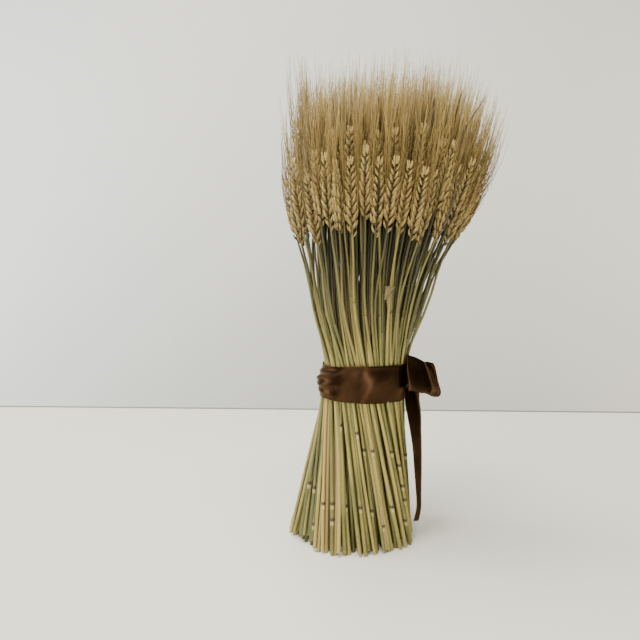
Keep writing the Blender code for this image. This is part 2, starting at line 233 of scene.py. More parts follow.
class TubePile:
    """Gathers closed tubes as arrays and turns them into one mesh."""

    CAP_SIZE = (0.0875, 0.035)
    CAP_MIDDLES = ((0.25, 0.04), (0.75, 0.04))
    SIDE_FROM = 0.10
    MARGIN = 0.06

    def __init__(self) -> None:
        """Starts an empty pile."""
        self.batches: list[Batch] = []

    def add(self, zone: Zone, rings: np.ndarray, paint: np.ndarray, coat: Coat) -> None:
        """Adds tubes of tubes x rings x sides corners, which run anticlockwise as seen from the far end."""
        paint = np.broadcast_to(paint, (*rings.shape[:3], 4))
        self.batches.append(Batch(zone, rings, paint, coat))

    @staticmethod
    def cells(count: int, zone: Zone) -> np.ndarray:
        """Splits a zone of the map into cells.

        Args:
            count: How many cells are needed.
            zone: The zone.

        Returns:
            Left, bottom, width and height of each cell.
        """
        left, right, tall = zone.value
        columns = max(1, min(count, math.ceil(math.sqrt(count * (right - left) * tall))))
        rows = math.ceil(count / columns)
        wide, high = (right - left) / columns, 1.0 / rows
        number = np.arange(count)
        corner = np.stack((left + number % columns * wide, number // columns * high), 1)
        return np.hstack((corner, np.broadcast_to((wide, high), (count, 2))))

    def faces_of(self, batch: Batch, first: int) -> tuple[np.ndarray, ...]:
        """The faces of a batch.

        Args:
            batch: The tubes.
            first: The number of the batch's first corner in the mesh.

        Returns:
            The side faces as corner numbers, their places in a cell, and the same two for the caps.
        """
        tubes, rings, sides = batch.rings.shape[:3]
        row, turn = np.meshgrid(np.arange(rings - 1), np.arange(sides), indexing="ij")
        after = (turn + 1) % sides
        quad = np.stack((row * sides + turn, row * sides + after, (row + 1) * sides + after,
                         (row + 1) * sides + turn), -1).reshape(-1, 4)
        rung = np.stack((row, row, row + 1, row + 1), -1)
        up = self.SIDE_FROM + (1 - self.SIDE_FROM) / (rings - 1) * rung
        across = np.stack((turn, turn + 1, turn + 1, turn), -1) / sides
        quad_at = np.stack((across, up), -1).reshape(-1, 4, 2)
        bottom, top = np.arange(sides)[::-1], (rings - 1) * sides + np.arange(sides)
        angle = math.tau * np.arange(sides) / sides
        round_at = np.stack((np.cos(angle), np.sin(angle)), -1) * self.CAP_SIZE
        cap = np.stack((bottom, top))
        cap_at = np.array(self.CAP_MIDDLES)[:, None] + np.stack((round_at[::-1], round_at))
        base = first + np.arange(tubes)[:, None, None] * rings * sides
        return quad[None] + base, quad_at, cap[None] + base, cap_at

    def build(self, name: str, materials: list[Material]) -> bpy.types.Object:
        """Makes the mesh and its object.

        Args:
            name: The object's name.
            materials: Its finishes, in slot order.

        Returns:
            The new object, linked to the scene.
        """
        totals = {zone: sum(len(b.rings) for b in self.batches if b.zone is zone) for zone in Zone}
        cells = {zone: self.cells(count, zone) for zone, count in totals.items() if count}
        used = dict.fromkeys(Zone, 0)
        verts, paints, loops, starts, places, slots, smooth = [], [], [], [], [], [], []
        first = corner = 0
        for batch in self.batches:
            tubes = len(batch.rings)
            quads, quad_at, caps, cap_at = self.faces_of(batch, first)
            cell = cells[batch.zone][used[batch.zone]:used[batch.zone] + tubes]
            used[batch.zone] += tubes
            corner_of, size = cell[:, None, None, :2], cell[:, None, None, 2:]
            for faces, at, is_smooth in ((quads, quad_at, True), (caps, cap_at, False)):
                count, sides = faces.shape[0] * faces.shape[1], faces.shape[2]
                loops.append(faces.reshape(-1))
                starts.append(corner + np.arange(count) * sides)
                corner += count * sides
                inside = self.MARGIN + (1 - 2 * self.MARGIN) * at[None]
                places.append((corner_of + size * inside).reshape(-1, 2))
                slots.append(np.full(count, int(batch.coat)))
                smooth.append(np.full(count, is_smooth))
            verts.append(batch.rings.reshape(-1, 3))
            paints.append(batch.paint.reshape(-1, 4))
            first += len(verts[-1])
        mesh = bpy.data.meshes.new(name)
        mesh.vertices.add(first)
        mesh.loops.add(corner)
        mesh.polygons.add(sum(map(len, starts)))
        mesh.vertices.foreach_set("co", np.concatenate(verts).astype(np.float32).ravel())
        mesh.polygons.foreach_set("loop_start", np.concatenate(starts).astype(np.int32))
        mesh.loops.foreach_set("vertex_index", np.concatenate(loops).astype(np.int32))
        mesh.polygons.foreach_set("material_index", np.concatenate(slots).astype(np.int32))
        mesh.polygons.foreach_set("use_smooth", np.concatenate(smooth))
        mesh.update(calc_edges=True)
        layout = mesh.uv_layers.new(name="OFBake")
        layout.uv.foreach_set("vector", np.concatenate(places).astype(np.float32).ravel())
        growth = mesh.attributes.new(PAINT, "FLOAT_COLOR", "POINT")
        growth.data.foreach_set("color", np.concatenate(paints).astype(np.float32).ravel())
        return link(name, mesh, materials)


def link(name: str, mesh: bpy.types.Mesh, materials: list[Material]) -> bpy.types.Object:
    """Puts a mesh into the scene.

    Args:
        name: The object's name.
        mesh: Its mesh.
        materials: Its finishes, in slot order.

    Returns:
        The new object.
    """
    for material in materials:
        mesh.materials.append(material)
    piece = bpy.data.objects.new(name, mesh)
    bpy.context.scene.collection.objects.link(piece)
    return piece


def ring_corners(middle: np.ndarray, wide: np.ndarray, deep: np.ndarray, shape: np.ndarray) -> np.ndarray:
    """The corners of a tube's rings, from their middles, their edges across and in depth, and their shape."""
    across, depth = shape[:, 0, None], shape[:, 1, None]
    return middle[..., None, :] + wide[..., None, :] * across + deep[..., None, :] * depth


def round_shape(sides: int, turn: float = 0.0) -> np.ndarray:
    """The corners of a round section of radius one."""
    angle = turn + math.tau * np.arange(sides) / sides
    return np.stack((np.cos(angle), np.sin(angle)), 1)


def unit(vectors: np.ndarray) -> np.ndarray:
    """Vectors of length one."""
    return vectors / np.linalg.norm(vectors, axis=-1, keepdims=True)


def painted(rings: np.ndarray, *marks: np.ndarray | float) -> np.ndarray:
    """Growth colours for tubes.

    Args:
        rings: The tubes' corners, as tubes x rings x sides x 3.
        marks: Four marks, each a number or an array that spreads over the corners.

    Returns:
        The colours, as tubes x rings x sides x 4.
    """
    paint = np.empty((*rings.shape[:3], len(marks)))
    for channel, mark in enumerate(marks):
        paint[..., channel] = mark
    return paint


def smooth(table: tuple[tuple[float, ...], ...], count: int) -> np.ndarray:
    """A smooth run through the rows of a table.

    Args:
        table: The rows.
        count: How many rows are wanted.

    Returns:
        Rows along the run, evenly spaced in the table's rows.
    """
    rows = np.array(table, float)
    slope = np.gradient(rows, axis=0)
    at = np.linspace(0, len(rows) - 1, count)
    low = np.minimum(at.astype(int), len(rows) - 2)
    t = (at - low)[:, None]
    return ((1 + 2 * t) * (1 - t) ** 2 * rows[low] + t * (1 - t) ** 2 * slope[low]
            + t**2 * (3 - 2 * t) * rows[low + 1] - t**2 * (1 - t) * slope[low + 1])


# The plan of the stalks


@dataclass
class Stalk:
    """One stalk: where it stands, passes the waist and holds its ear, and how it grew."""

    name: str
    depth: Depth
    foot: complex
    waist: complex
    ear: complex
    foot_height: float
    neck: float
    ear_length: float
    ear_turn: float
    girth: float = 1.0
    tint: float = 0.3
    gold: float = 0.5
    sway: complex = 0j
    bow: complex = 0j
    nodes: list[float] = field(default_factory=list)
    sheath_end: float | None = None
    seed: int = 0

    @property
    def ear_middle(self) -> float:
        """The height of the middle of the ear."""
        return self.neck + self.ear_length / 2

    def line(self, height: np.ndarray) -> np.ndarray:
        """The stalk's middle line.

        Args:
            height: Heights over the table.

        Returns:
            The points, as heights x 3.
        """
        height = np.asarray(height, float)
        below = height / FORM.waist_height
        above = (height - FORM.waist_height) / (self.ear_middle - FORM.waist_height)
        low = self.foot + (self.waist - self.foot) * below + self.bow * np.sin(np.pi * np.clip(below, 0, 1))
        climb = np.clip((height - FORM.waist_height) / (self.neck - FORM.waist_height), 0, 1)
        high = self.waist + (self.ear - self.waist) * above + self.sway * np.sin(np.pi * climb) ** 2
        swell_from, swell_to = FORM.swell_between
        swell = np.clip((height - swell_from) / (swell_to - swell_from), 0, 1)
        high *= 1 + FORM.ear_swell * swell**2 * (3 - 2 * swell)
        at = np.where(height < FORM.waist_height, low, high)
        return np.stack((at.real + FORM.lean(height), at.imag, height), -1)

    def ear_frame(self) -> tuple[np.ndarray, np.ndarray]:
        """Where the ear starts, and its own axes.

        Returns:
            The neck's place, and the ear's side, front and upward directions as rows.
        """
        neck, tip = self.line(np.array((self.neck, self.neck + self.ear_length)))
        up = unit(tip - neck)
        side = np.array((math.cos(self.ear_turn), math.sin(self.ear_turn), 0.0))
        side = unit(side - up * side.dot(up))
        return neck, np.stack((side, np.cross(up, side), up))


def settle(points: np.ndarray, held: np.ndarray, size: np.ndarray, reach: float, rounds: int = 90,
           step: float = 0.8) -> np.ndarray:
    """Pushes round things in a section apart.

    Args:
        points: Their middles, as complex numbers.
        held: Which of them stay where they are.
        size: The radius of each.
        reach: The furthest that a middle may stand from the section's middle.
        rounds: How many times they are pushed.
        step: How much of each push is taken.

    Returns:
        The settled middles.
    """
    points = points.copy()
    apart = size[:, None] + size[None, :]
    for _ in range(rounds):
        away = points[:, None] - points[None, :]
        far = np.abs(away) + np.eye(len(points))
        push = np.where(far < apart, (apart - far) / 2 * away / far, 0).sum(1)
        points = np.where(held, points, points + step * push)
        out = np.abs(points)
        points = np.where(~held & (out > reach), points / np.maximum(out, TINY) * reach, points)
    return points


class Mark(NamedTuple):
    """What a stem does at a height: the factor on its radius, and how dark and how pale with bloom it is."""

    height: float
    swell: float = 1.0
    dark: float = 0.0
    bloom: float = 0.0


def scatter(draw: random.Random, spread: float) -> complex:
    """A random shift in both directions of a section."""
    return complex(draw.gauss(0, spread), draw.gauss(0, spread))


@dataclass(frozen=True)
class Growth:
    """How each stalk grows: its girth, colours and bends, its cut end, the turn of its ear and its nodes."""

    seed_shift: int = 7
    girths: tuple[float, float] = (0.80, 1.06)
    tints: tuple[float, ...] = (0.06, 0.16, 0.26, 0.36, 0.46, 0.60)
    tint_scatter: float = 0.06
    tan_share: float = 0.10
    # More tan stalks stand round this angle, within this spread, by this share
    tan_side: tuple[float, float, float] = (-2.0, 0.35, 0.35)
    tan_tints: tuple[float, float] = (0.75, 1.0)
    golds: tuple[float, float] = (0.1, 0.9)
    sway: float = 0.0019
    bow: float = 0.0015
    next_bulge: float = 0.0034
    packed_bulge: float = 0.0030
    bulged_from: float = 0.0345
    foot_scatter: float = 0.0018
    foot_spread: float = 1.015
    short_share: float = 0.36
    short_feet: tuple[float, float] = (0.0015, 0.0055)
    raised_sector: tuple[float, float] = (math.radians(196), math.radians(233))
    raised_feet: tuple[float, float] = (0.0060, 0.0100)
    # The foot stands out round these angles, within these spreads, by these shares
    foot_bulges: tuple[tuple[float, float, float], ...] = ((-0.6, 0.55, 0.055), (-1.95, 0.35, 0.050))
    near_faced: float = 0.90
    packed_faced: float = 0.76
    face_scatter: float = 0.40
    side_from: float = 0.70
    side_turned: float = 0.62
    side_stride: float = 0.377
    side_turn: float = 0.5
    # The share of stalks with a node in each of these ranges of height
    node_zones: tuple[tuple[float, float, float], ...] = ((0.62, 0.022, 0.078), (0.34, 0.092, 0.135))
    sheath_share: float = 0.45
    sheath_ends: tuple[float, float] = (0.206, 0.262)

    def grow(self, stalk: Stalk, foot_reach: float) -> None:
        """Grows a stalk.

        Args:
            stalk: The stalk, which is changed.
            foot_reach: The furthest that the foot of an outer stalk may stand from the middle.
        """
        draw = random.Random(stalk.seed + self.seed_shift)
        self.colour(stalk, draw)
        self.bend(stalk, draw)
        if stalk.depth is Depth.OUTER:
            stalk.foot += scatter(draw, self.foot_scatter)
            stalk.foot *= self.foot_spread
            stalk.foot *= min(1.0, foot_reach / abs(stalk.foot))
        if stalk.depth is not Depth.PACKED:
            self.cut(stalk, draw)
        self.turn_ear(stalk, draw)
        for share, low, high in self.node_zones:
            if draw.random() < share:
                stalk.nodes.append(draw.uniform(low, high))
        if draw.random() < self.sheath_share:
            stalk.sheath_end = draw.uniform(*self.sheath_ends)

    def colour(self, stalk: Stalk, draw: random.Random) -> None:
        """Gives a stalk its girth and its colours, with more tan ones at one side.

        Args:
            stalk: The stalk, which is changed.
            draw: The stalk's random draws.
        """
        stalk.girth = draw.uniform(*self.girths)
        stalk.tint = draw.choice(self.tints) + draw.uniform(-self.tint_scatter, self.tint_scatter)
        place, spread, share = self.tan_side
        at_tan_side = math.exp(-((cmath.phase(stalk.foot) - place) / spread) ** 2)
        if draw.random() < self.tan_share + share * at_tan_side:
            stalk.tint = draw.uniform(*self.tan_tints)
        stalk.gold = draw.uniform(*self.golds)

    def bend(self, stalk: Stalk, draw: random.Random) -> None:
        """Gives a stalk its bends, with the first rings inside the outer one bulging outwards.

        Args:
            stalk: The stalk, which is changed.
            draw: The stalk's random draws.
        """
        stalk.sway = scatter(draw, self.sway)
        stalk.bow = scatter(draw, self.bow)
        if stalk.depth is not Depth.OUTER and abs(stalk.waist) > self.bulged_from:
            outward = stalk.waist / abs(stalk.waist) + stalk.ear / abs(stalk.ear)
            bulge = self.next_bulge if stalk.depth is Depth.NEXT else self.packed_bulge
            stalk.sway += bulge * outward / abs(outward)

    def cut(self, stalk: Stalk, draw: random.Random) -> None:
        """Cuts a stalk's foot a little short or raises it, and stands it out where the sheaf's foot is wider.

        Args:
            stalk: The stalk, which is changed.
            draw: The stalk's random draws.
        """
        if draw.random() < self.short_share:
            stalk.foot_height = draw.uniform(*self.short_feet)
        if self.raised_sector[0] < cmath.phase(stalk.foot) % math.tau < self.raised_sector[1]:
            stalk.foot_height = draw.uniform(*self.raised_feet)
        for place, spread, share in self.foot_bulges:
            stalk.foot *= 1 + share * math.exp(-((cmath.phase(stalk.foot) - place) / spread) ** 2)

    def turn_ear(self, stalk: Stalk, draw: random.Random) -> None:
        """Turns most ears with their broad face outwards, and many at the sides to the front and back.

        Args:
            stalk: The stalk, which is changed.
            draw: The stalk's random draws.
        """
        if draw.random() < (self.packed_faced if stalk.depth is Depth.PACKED else self.near_faced):
            stalk.ear_turn = cmath.phase(stalk.ear) + math.pi / 2 + draw.gauss(0, self.face_scatter)
            at_side = abs(math.cos(cmath.phase(stalk.ear))) > self.side_from
            if at_side and stalk.seed * self.side_stride % 1 < self.side_turned:
                stalk.ear_turn = self.side_turn * math.sin(stalk.seed)


@dataclass(frozen=True)
class StalkPlan:
    """Places every stalk: the single ones of the outer ring, as packed, and the rings inside them."""

    outer: int = 46
    outer_seeds: int = SEED * 1000
    second_neck: float = 0.339
    second_flare_share: float = 0.42
    neck_scatter: float = 0.009
    short_feet: tuple[float, float] = (0.0005, 0.0025)
    short_share: float = 0.3
    ear_length: float = 0.073
    ear_scatter: float = 0.005
    # How many stalks each inner ring has, and its radius at the waist
    rings: tuple[tuple[int, float], ...] = (
        (46, 0.0391), (44, 0.0362), (40, 0.0330), (34, 0.0293), (28, 0.0254), (21, 0.0214), (15, 0.0171),
        (9, 0.0126), (5, 0.0078), (1, 0.0001),
    )
    inner_seeds: int = SEED * 3000
    ring_seeds: int = 100
    ring_scatter: float = 0.12
    inner_ears: tuple[float, float] = (-2, 1)
    middle_neck: float = 0.348
    neck_fall: float = 0.010
    inner_necks: tuple[float, float] = (-0.011, 0.004)
    # The factor on an inner stalk's foot in the middle, and its rise out to the outer ring
    inner_foot: tuple[float, float] = (0.96, 0.05)
    next_reach: tuple[float, float] = (0.0755, 0.0825)
    next_neck: float = 0.337
    next_neck_scatter: float = 0.010
    left_neck_rise: float = 0.022
    next_foot_turn: float = 0.05
    next_foot_reach: tuple[float, float] = (0.0575, 0.0655)
    # Where the taller ear stands, and the height of its neck
    spire: tuple[complex, float] = (-0.005 - 0.014j, 0.374)
    head_reach: float = 0.088
    inner_head_reach: float = 0.0865
    foot_reach: float = 0.0672
    foot_size: float = 0.00215
    front_row_extra: int = 15
    front_row_inset: float = 0.002
    front_row_necks: tuple[float, float] = (-0.004, 0.018)
    side_pairs: frozenset[int] = frozenset((0, 1, 2, 22))
    # The dark nodes that the photograph shows, in mm across and up
    nodes_seen: tuple[tuple[int, int], ...] = (
        (-57, 60), (-40, 58), (-41, 53), (-30, 47), (-24, 49), (-20, 34), (-12, 125), (-6, 46), (3, 119),
        (5, 46), (13, 101), (21, 101), (20, 41), (41, 98), (43, 44), (56, 26), (60, 83), (64, 87), (65, 61),
        (63, 46),
    )
    # A stalk that stands in front at front_height keeps its own nodes only below own_nodes_below
    front_height: float = 0.05
    own_nodes_below: float = 0.03
    # A node that was seen goes to a stalk in front of front_from, the nearest across and in depth
    front_from: float = -0.005
    front_depth: float = 0.06
    depth_weight: float = 0.4
    nodes_apart: float = 0.012
    growth: Growth = Growth()

    def outer_ring(self) -> list[Stalk]:
        """The single stalks of the outer ring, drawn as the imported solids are.

        Returns:
            The stalks, in order round the ring.
        """
        draw = random.Random(SEED)
        stalks = []
        for i in range(self.outer):
            second = i % 2 == 1
            short = draw.random() < self.short_share
            angle = math.tau * i / self.outer
            waist = FORM.ring_radius * complex(math.cos(angle), math.sin(angle))
            foot_height = draw.uniform(*self.short_feet) if short else 0.0
            neck = self.second_neck if second else FORM.neck_height
            neck += draw.uniform(-self.neck_scatter, self.neck_scatter)
            length = self.ear_length + draw.uniform(-self.ear_scatter, self.ear_scatter)
            flare = FORM.head_flare * (self.second_flare_share if second else 1)
            stalks.append(Stalk(
                name=f"{i + 1:02d}", depth=Depth.OUTER, foot=waist * FORM.spread(0, 0), waist=waist,
                ear=waist * FORM.spread(neck + length / 2, flare), foot_height=foot_height, neck=neck,
                ear_length=length, ear_turn=draw.uniform(0, math.pi), seed=self.outer_seeds + i,
            ))
        return stalks

    def inner_rings(self) -> list[Stalk]:
        """The stalks inside the outer ring, before their ears and feet are settled.

        Returns:
            The stalks, from the outermost ring inwards.
        """
        draw = random.Random(SEED + 1)
        stalks = []
        for number, (count, radius) in enumerate(self.rings):
            turned = GOLDEN_ANGLE * max(number - 1, 0)
            for k in range(count):
                shift = draw.uniform(-self.ring_scatter, self.ring_scatter)
                angle = math.tau * (k + 0.5 + shift) / count + turned
                waist = radius * complex(math.cos(angle), math.sin(angle))
                length = self.ear_length + draw.uniform(*self.inner_ears) * self.ear_scatter
                stalks.append(Stalk(
                    name=f"{number}_{k}", depth=Depth.NEXT if number == 0 else Depth.PACKED, foot=waist,
                    waist=waist, ear=waist, foot_height=0.0, neck=0.0, ear_length=length,
                    ear_turn=draw.uniform(0, math.pi), seed=self.inner_seeds + number * self.ring_seeds + k,
                ))
        total = len(stalks) + self.outer
        for rank, stalk in enumerate(reversed(stalks)):
            self.place_inner(stalk, self.head_reach * math.sqrt((rank + 0.5) / total), draw)
        self.fill_front_row(stalks[:self.outer], draw)
        return stalks

    def place_inner(self, stalk: Stalk, reach: float, draw: random.Random) -> None:
        """Places an inner stalk's ear and foot.

        Args:
            stalk: The stalk, which is changed.
            reach: How far from the middle its ear stands.
            draw: The random draws.
        """
        near = stalk.depth is Depth.NEXT
        if near:
            reach = draw.uniform(*self.next_reach)
        stalk.neck = self.middle_neck - self.neck_fall * (reach / self.head_reach) ** 2
        stalk.neck += draw.uniform(*self.inner_necks)
        size = abs(stalk.waist)
        flare = FORM.flare_to(size, reach, stalk.ear_middle)
        stalk.ear = stalk.waist * FORM.spread(stalk.ear_middle, flare)
        least, rise = self.inner_foot
        stalk.foot = stalk.waist * FORM.spread(0, 0) * (least + rise * (size / FORM.ring_radius))
        if near:
            left = max(0.0, -math.cos(cmath.phase(stalk.ear))) ** 2
            stalk.neck = self.next_neck + draw.uniform(-self.next_neck_scatter, self.next_neck_scatter)
            stalk.neck += self.left_neck_rise * left
            turn = cmath.exp(1j * draw.uniform(-self.next_foot_turn, self.next_foot_turn))
            stalk.foot *= turn * draw.uniform(*self.next_foot_reach) / abs(stalk.foot)

    def fill_front_row(self, ring: list[Stalk], draw: random.Random) -> None:
        """Stands some ears of a ring in the outermost row, between the outer ring's ears.

        Args:
            ring: The ring's stalks, in order round it.
            draw: The random draws.
        """
        pairs = set(range(self.outer // 2)) - self.side_pairs
        chosen = draw.sample(sorted(pairs), self.front_row_extra - len(self.side_pairs))
        reach = self.inner_head_reach - self.front_row_inset
        for pair in sorted(self.side_pairs.union(chosen)):
            stalk = ring[2 * pair + draw.randint(0, 1)]
            stalk.neck = FORM.neck_height + draw.uniform(*self.front_row_necks)
            between = cmath.exp(1j * math.tau * (2 * pair + 1) / self.outer)
            flare = FORM.flare_to(FORM.ring_radius, reach, stalk.ear_middle)
            stalk.ear = FORM.ring_radius * between * FORM.spread(stalk.ear_middle, flare)

    def mark_nodes(self, stalks: list[Stalk]) -> None:
        """Puts the nodes that the photograph shows on the stalks that stand there.

        Args:
            stalks: Every stalk.
        """
        near = [s for s in stalks if s.depth is not Depth.PACKED]
        for stalk in near:
            if stalk.line(np.array(self.front_height))[1] < 0:
                stalk.nodes = [z for z in stalk.nodes if z < self.own_nodes_below]
        for across_mm, height_mm in self.nodes_seen:
            across, height = across_mm / MM_PER_METRE, height_mm / MM_PER_METRE
            here = [(s, s.line(np.array(height))) for s in near]
            front = [(abs(at[0] - across) + self.depth_weight * (at[1] + self.front_depth), s)
                     for s, at in here if at[1] < self.front_from]
            chosen = min(front, key=lambda found: found[0])[1]
            if all(abs(height - z) > self.nodes_apart for z in chosen.nodes):
                chosen.nodes.append(height)

    def stalks(self) -> list[Stalk]:
        """Every stalk, with ears and feet pushed apart so that they stand beside each other.

        Returns:
            The outer ring first, then the inner rings.
        """
        every = self.outer_ring() + self.inner_rings()
        held = np.array([stalk.depth is Depth.OUTER for stalk in every])
        held[-1] = True
        ear_size = np.array([EAR_ROOM[stalk.depth] for stalk in every])
        foot_size = np.full(len(every), self.foot_size)
        ears = settle(np.array([s.ear for s in every]), held, ear_size, self.inner_head_reach)
        feet = settle(np.array([s.foot for s in every]), held, foot_size, self.foot_reach)
        for stalk, ear, foot in zip(every, ears, feet, strict=True):
            stalk.ear, stalk.foot = complex(ear), complex(foot)
            self.growth.grow(stalk, self.foot_reach)
        every[-1].foot, every[-1].foot_height = 0j, 0.0
        place, top = self.spire
        min(every, key=lambda stalk: abs(stalk.ear - place)).neck = top
        self.mark_nodes(every)
        return every


# Stems, ears and beards


@dataclass(frozen=True)
class StemMaker:
    """Builds a stem: a straw with swollen dark nodes, a leaf sheath's end with a painted shadow line at its
    step, and a hollow cut end with painted shade inside it.
    """

    first_mark: float = 0.001
    marks_near: int = 16
    marks_packed: int = 8
    # A node and a leaf sheath's end, by heights from them
    node: tuple[Mark, ...] = (
        Mark(-0.00600), Mark(-0.00456, bloom=0.9), Mark(-0.0024, 1.02, bloom=1.0),
        Mark(-0.0009, 1.16, 0.85, 0.5), Mark(0.0, 1.1832, 1.0), Mark(0.0009, 1.16, 0.9),
        Mark(0.0024, 1.03, bloom=0.1),
    )
    node_clear: float = 0.002
    # A leaf sheath's end, by heights from it: a step down in the radius, a little bloom below it, and a dark
    # line at the step that is painted shadow
    sheath_end: tuple[Mark, ...] = (
        Mark(-0.003, 1.07, bloom=0.10), Mark(-0.0006, 1.07, 0.12, 0.30), Mark(0.0, 0.97, 0.60),
        Mark(0.003, 0.97),
    )
    sheath_clear: float = 0.001
    slim_from: float = 0.06
    upper_slim: float = 0.90
    hollow_share: float = 0.60
    hollow_depth: float = 0.006
    # The hollow cut end, from the ring inside it out to its rim: how dark, which is painted shade inside the
    # hollow, and how pale with bloom
    mouth_painted_shade: tuple[float, float, float] = (0.9, 0.35, 0.0)
    mouth_bloom: tuple[float, float, float] = (0.0, 0.5, 0.5)
    # The stem's run through the ear, by shares of the ear's length
    rachis_up: tuple[float, float, float] = (0.08, 0.45, 0.86)
    rachis_radii: tuple[float, float, float] = (0.00088, 0.00080, 0.00032)

    @staticmethod
    def set_in(marks: list[Mark], detail: tuple[Mark, ...], place: float, clear: float) -> list[Mark]:
        """Sets a detail into a stem's marks, in place of the plain ones round it.

        Args:
            marks: The stem's marks.
            detail: The detail's marks, by heights from its place.
            place: The detail's height on the stem.
            clear: How far past the detail plain marks are left out.

        Returns:
            The stem's marks with the detail.
        """
        low, high = place + detail[0].height - clear, place + detail[-1].height + clear
        kept = [mark for mark in marks if not low < mark.height < high]
        return kept + [mark._replace(height=place + mark.height) for mark in detail]

    def stations(self, stalk: Stalk) -> tuple[np.ndarray, ...]:
        """Heights along a stem, with what the stem does at each.

        Args:
            stalk: The stalk.

        Returns:
            The heights, the factor on the radius, how dark the node is and how pale the bloom is.
        """
        packed = stalk.depth is Depth.PACKED
        count = self.marks_packed if packed else self.marks_near
        heights = np.linspace(stalk.foot_height + self.first_mark, stalk.neck, count)
        marks = [Mark(float(height)) for height in heights]
        if not packed:
            for node in stalk.nodes:
                marks = self.set_in(marks, self.node, node, self.node_clear)
            if stalk.sheath_end:
                marks = self.set_in(marks, self.sheath_end, stalk.sheath_end, self.sheath_clear)
        return tuple(np.array(column) for column in zip(*sorted(marks), strict=True))

    def add(self, pile: TubePile, stalk: Stalk) -> None:
        """Adds a stalk's stem and the stem's run through the ear.

        Args:
            pile: Where the stem goes.
            stalk: The stalk.
        """
        height, swell, dark, bloom = self.stations(stalk)
        slim = np.interp(height, (self.slim_from, FORM.waist_height), (1.0, self.upper_slim))
        radius = FORM.stem_radius(height, stalk.neck) * swell * stalk.girth * slim
        radius = np.concatenate((radius, self.rachis_radii))
        height = np.concatenate((height, stalk.neck + stalk.ear_length * np.array(self.rachis_up)))
        dark, bloom = (np.pad(mark, (0, len(self.rachis_up))) for mark in (dark, bloom))
        line = stalk.line(height)
        if stalk.depth is Depth.PACKED:
            line[0, 2] = stalk.foot_height
        else:
            foot = stalk.foot_height
            rim = self.hollow_share * radius[0]
            line = np.concatenate((stalk.line(np.array((foot + self.hollow_depth, foot, foot))), line))
            radius = np.concatenate(((rim, rim, radius[0]), radius))
            # Painted shade inside the hollow cut end
            dark = np.concatenate((self.mouth_painted_shade, dark))
            bloom = np.concatenate((self.mouth_bloom, bloom))
        wide, deep = (np.array((axis,)) * radius[:, None] for axis in ((1.0, 0, 0), (0, 1.0, 0)))
        rings = ring_corners(line, wide, deep, round_shape(STEM_SIDES[stalk.depth], stalk.ear_turn))[None]
        own = stalk.seed * OWN_STRIDE % 1
        paint = painted(rings, stalk.tint, dark[:, None], bloom[:, None], own)
        pile.add(Zone.STEM, rings, paint, Coat.STRAW)


@dataclass(frozen=True)
class EarBuild:
    """How finely an ear is built: a floret's section and its swelling along it, and an awn's rings."""

    section: tuple[tuple[float, float], ...]
    stations: tuple[tuple[float, float], ...]
    awn_rings: int
    slim: float
    spikelets: int = 18


FINE_EAR = EarBuild(
    section=((0.0, 1.14), (0.80, 0.62), (0.90, -0.42), (0.0, -0.90), (-0.90, -0.42), (-0.80, 0.62)),
    stations=((0.0, 0.42), (0.20, 0.90), (0.44, 1.0), (0.74, 0.62), (1.0, 0.10)),
    awn_rings=4, slim=1.0,
)
PLAIN_EAR = EarBuild(
    section=((0.0, 1.1), (0.95, 0.0), (0.0, -0.85), (-0.95, 0.0)),
    stations=((0.0, 0.45), (0.36, 1.0), (0.74, 0.70), (1.0, 0.14)),
    awn_rings=3, slim=0.92,
)


@dataclass
class Florets:
    """The florets of an ear, in the ear's own axes: where each is rooted, its directions and its size."""

    root: np.ndarray
    up: np.ndarray
    wide: np.ndarray
    deep: np.ndarray
    along: np.ndarray
    length: np.ndarray
    half_wide: np.ndarray
    half_deep: np.ndarray


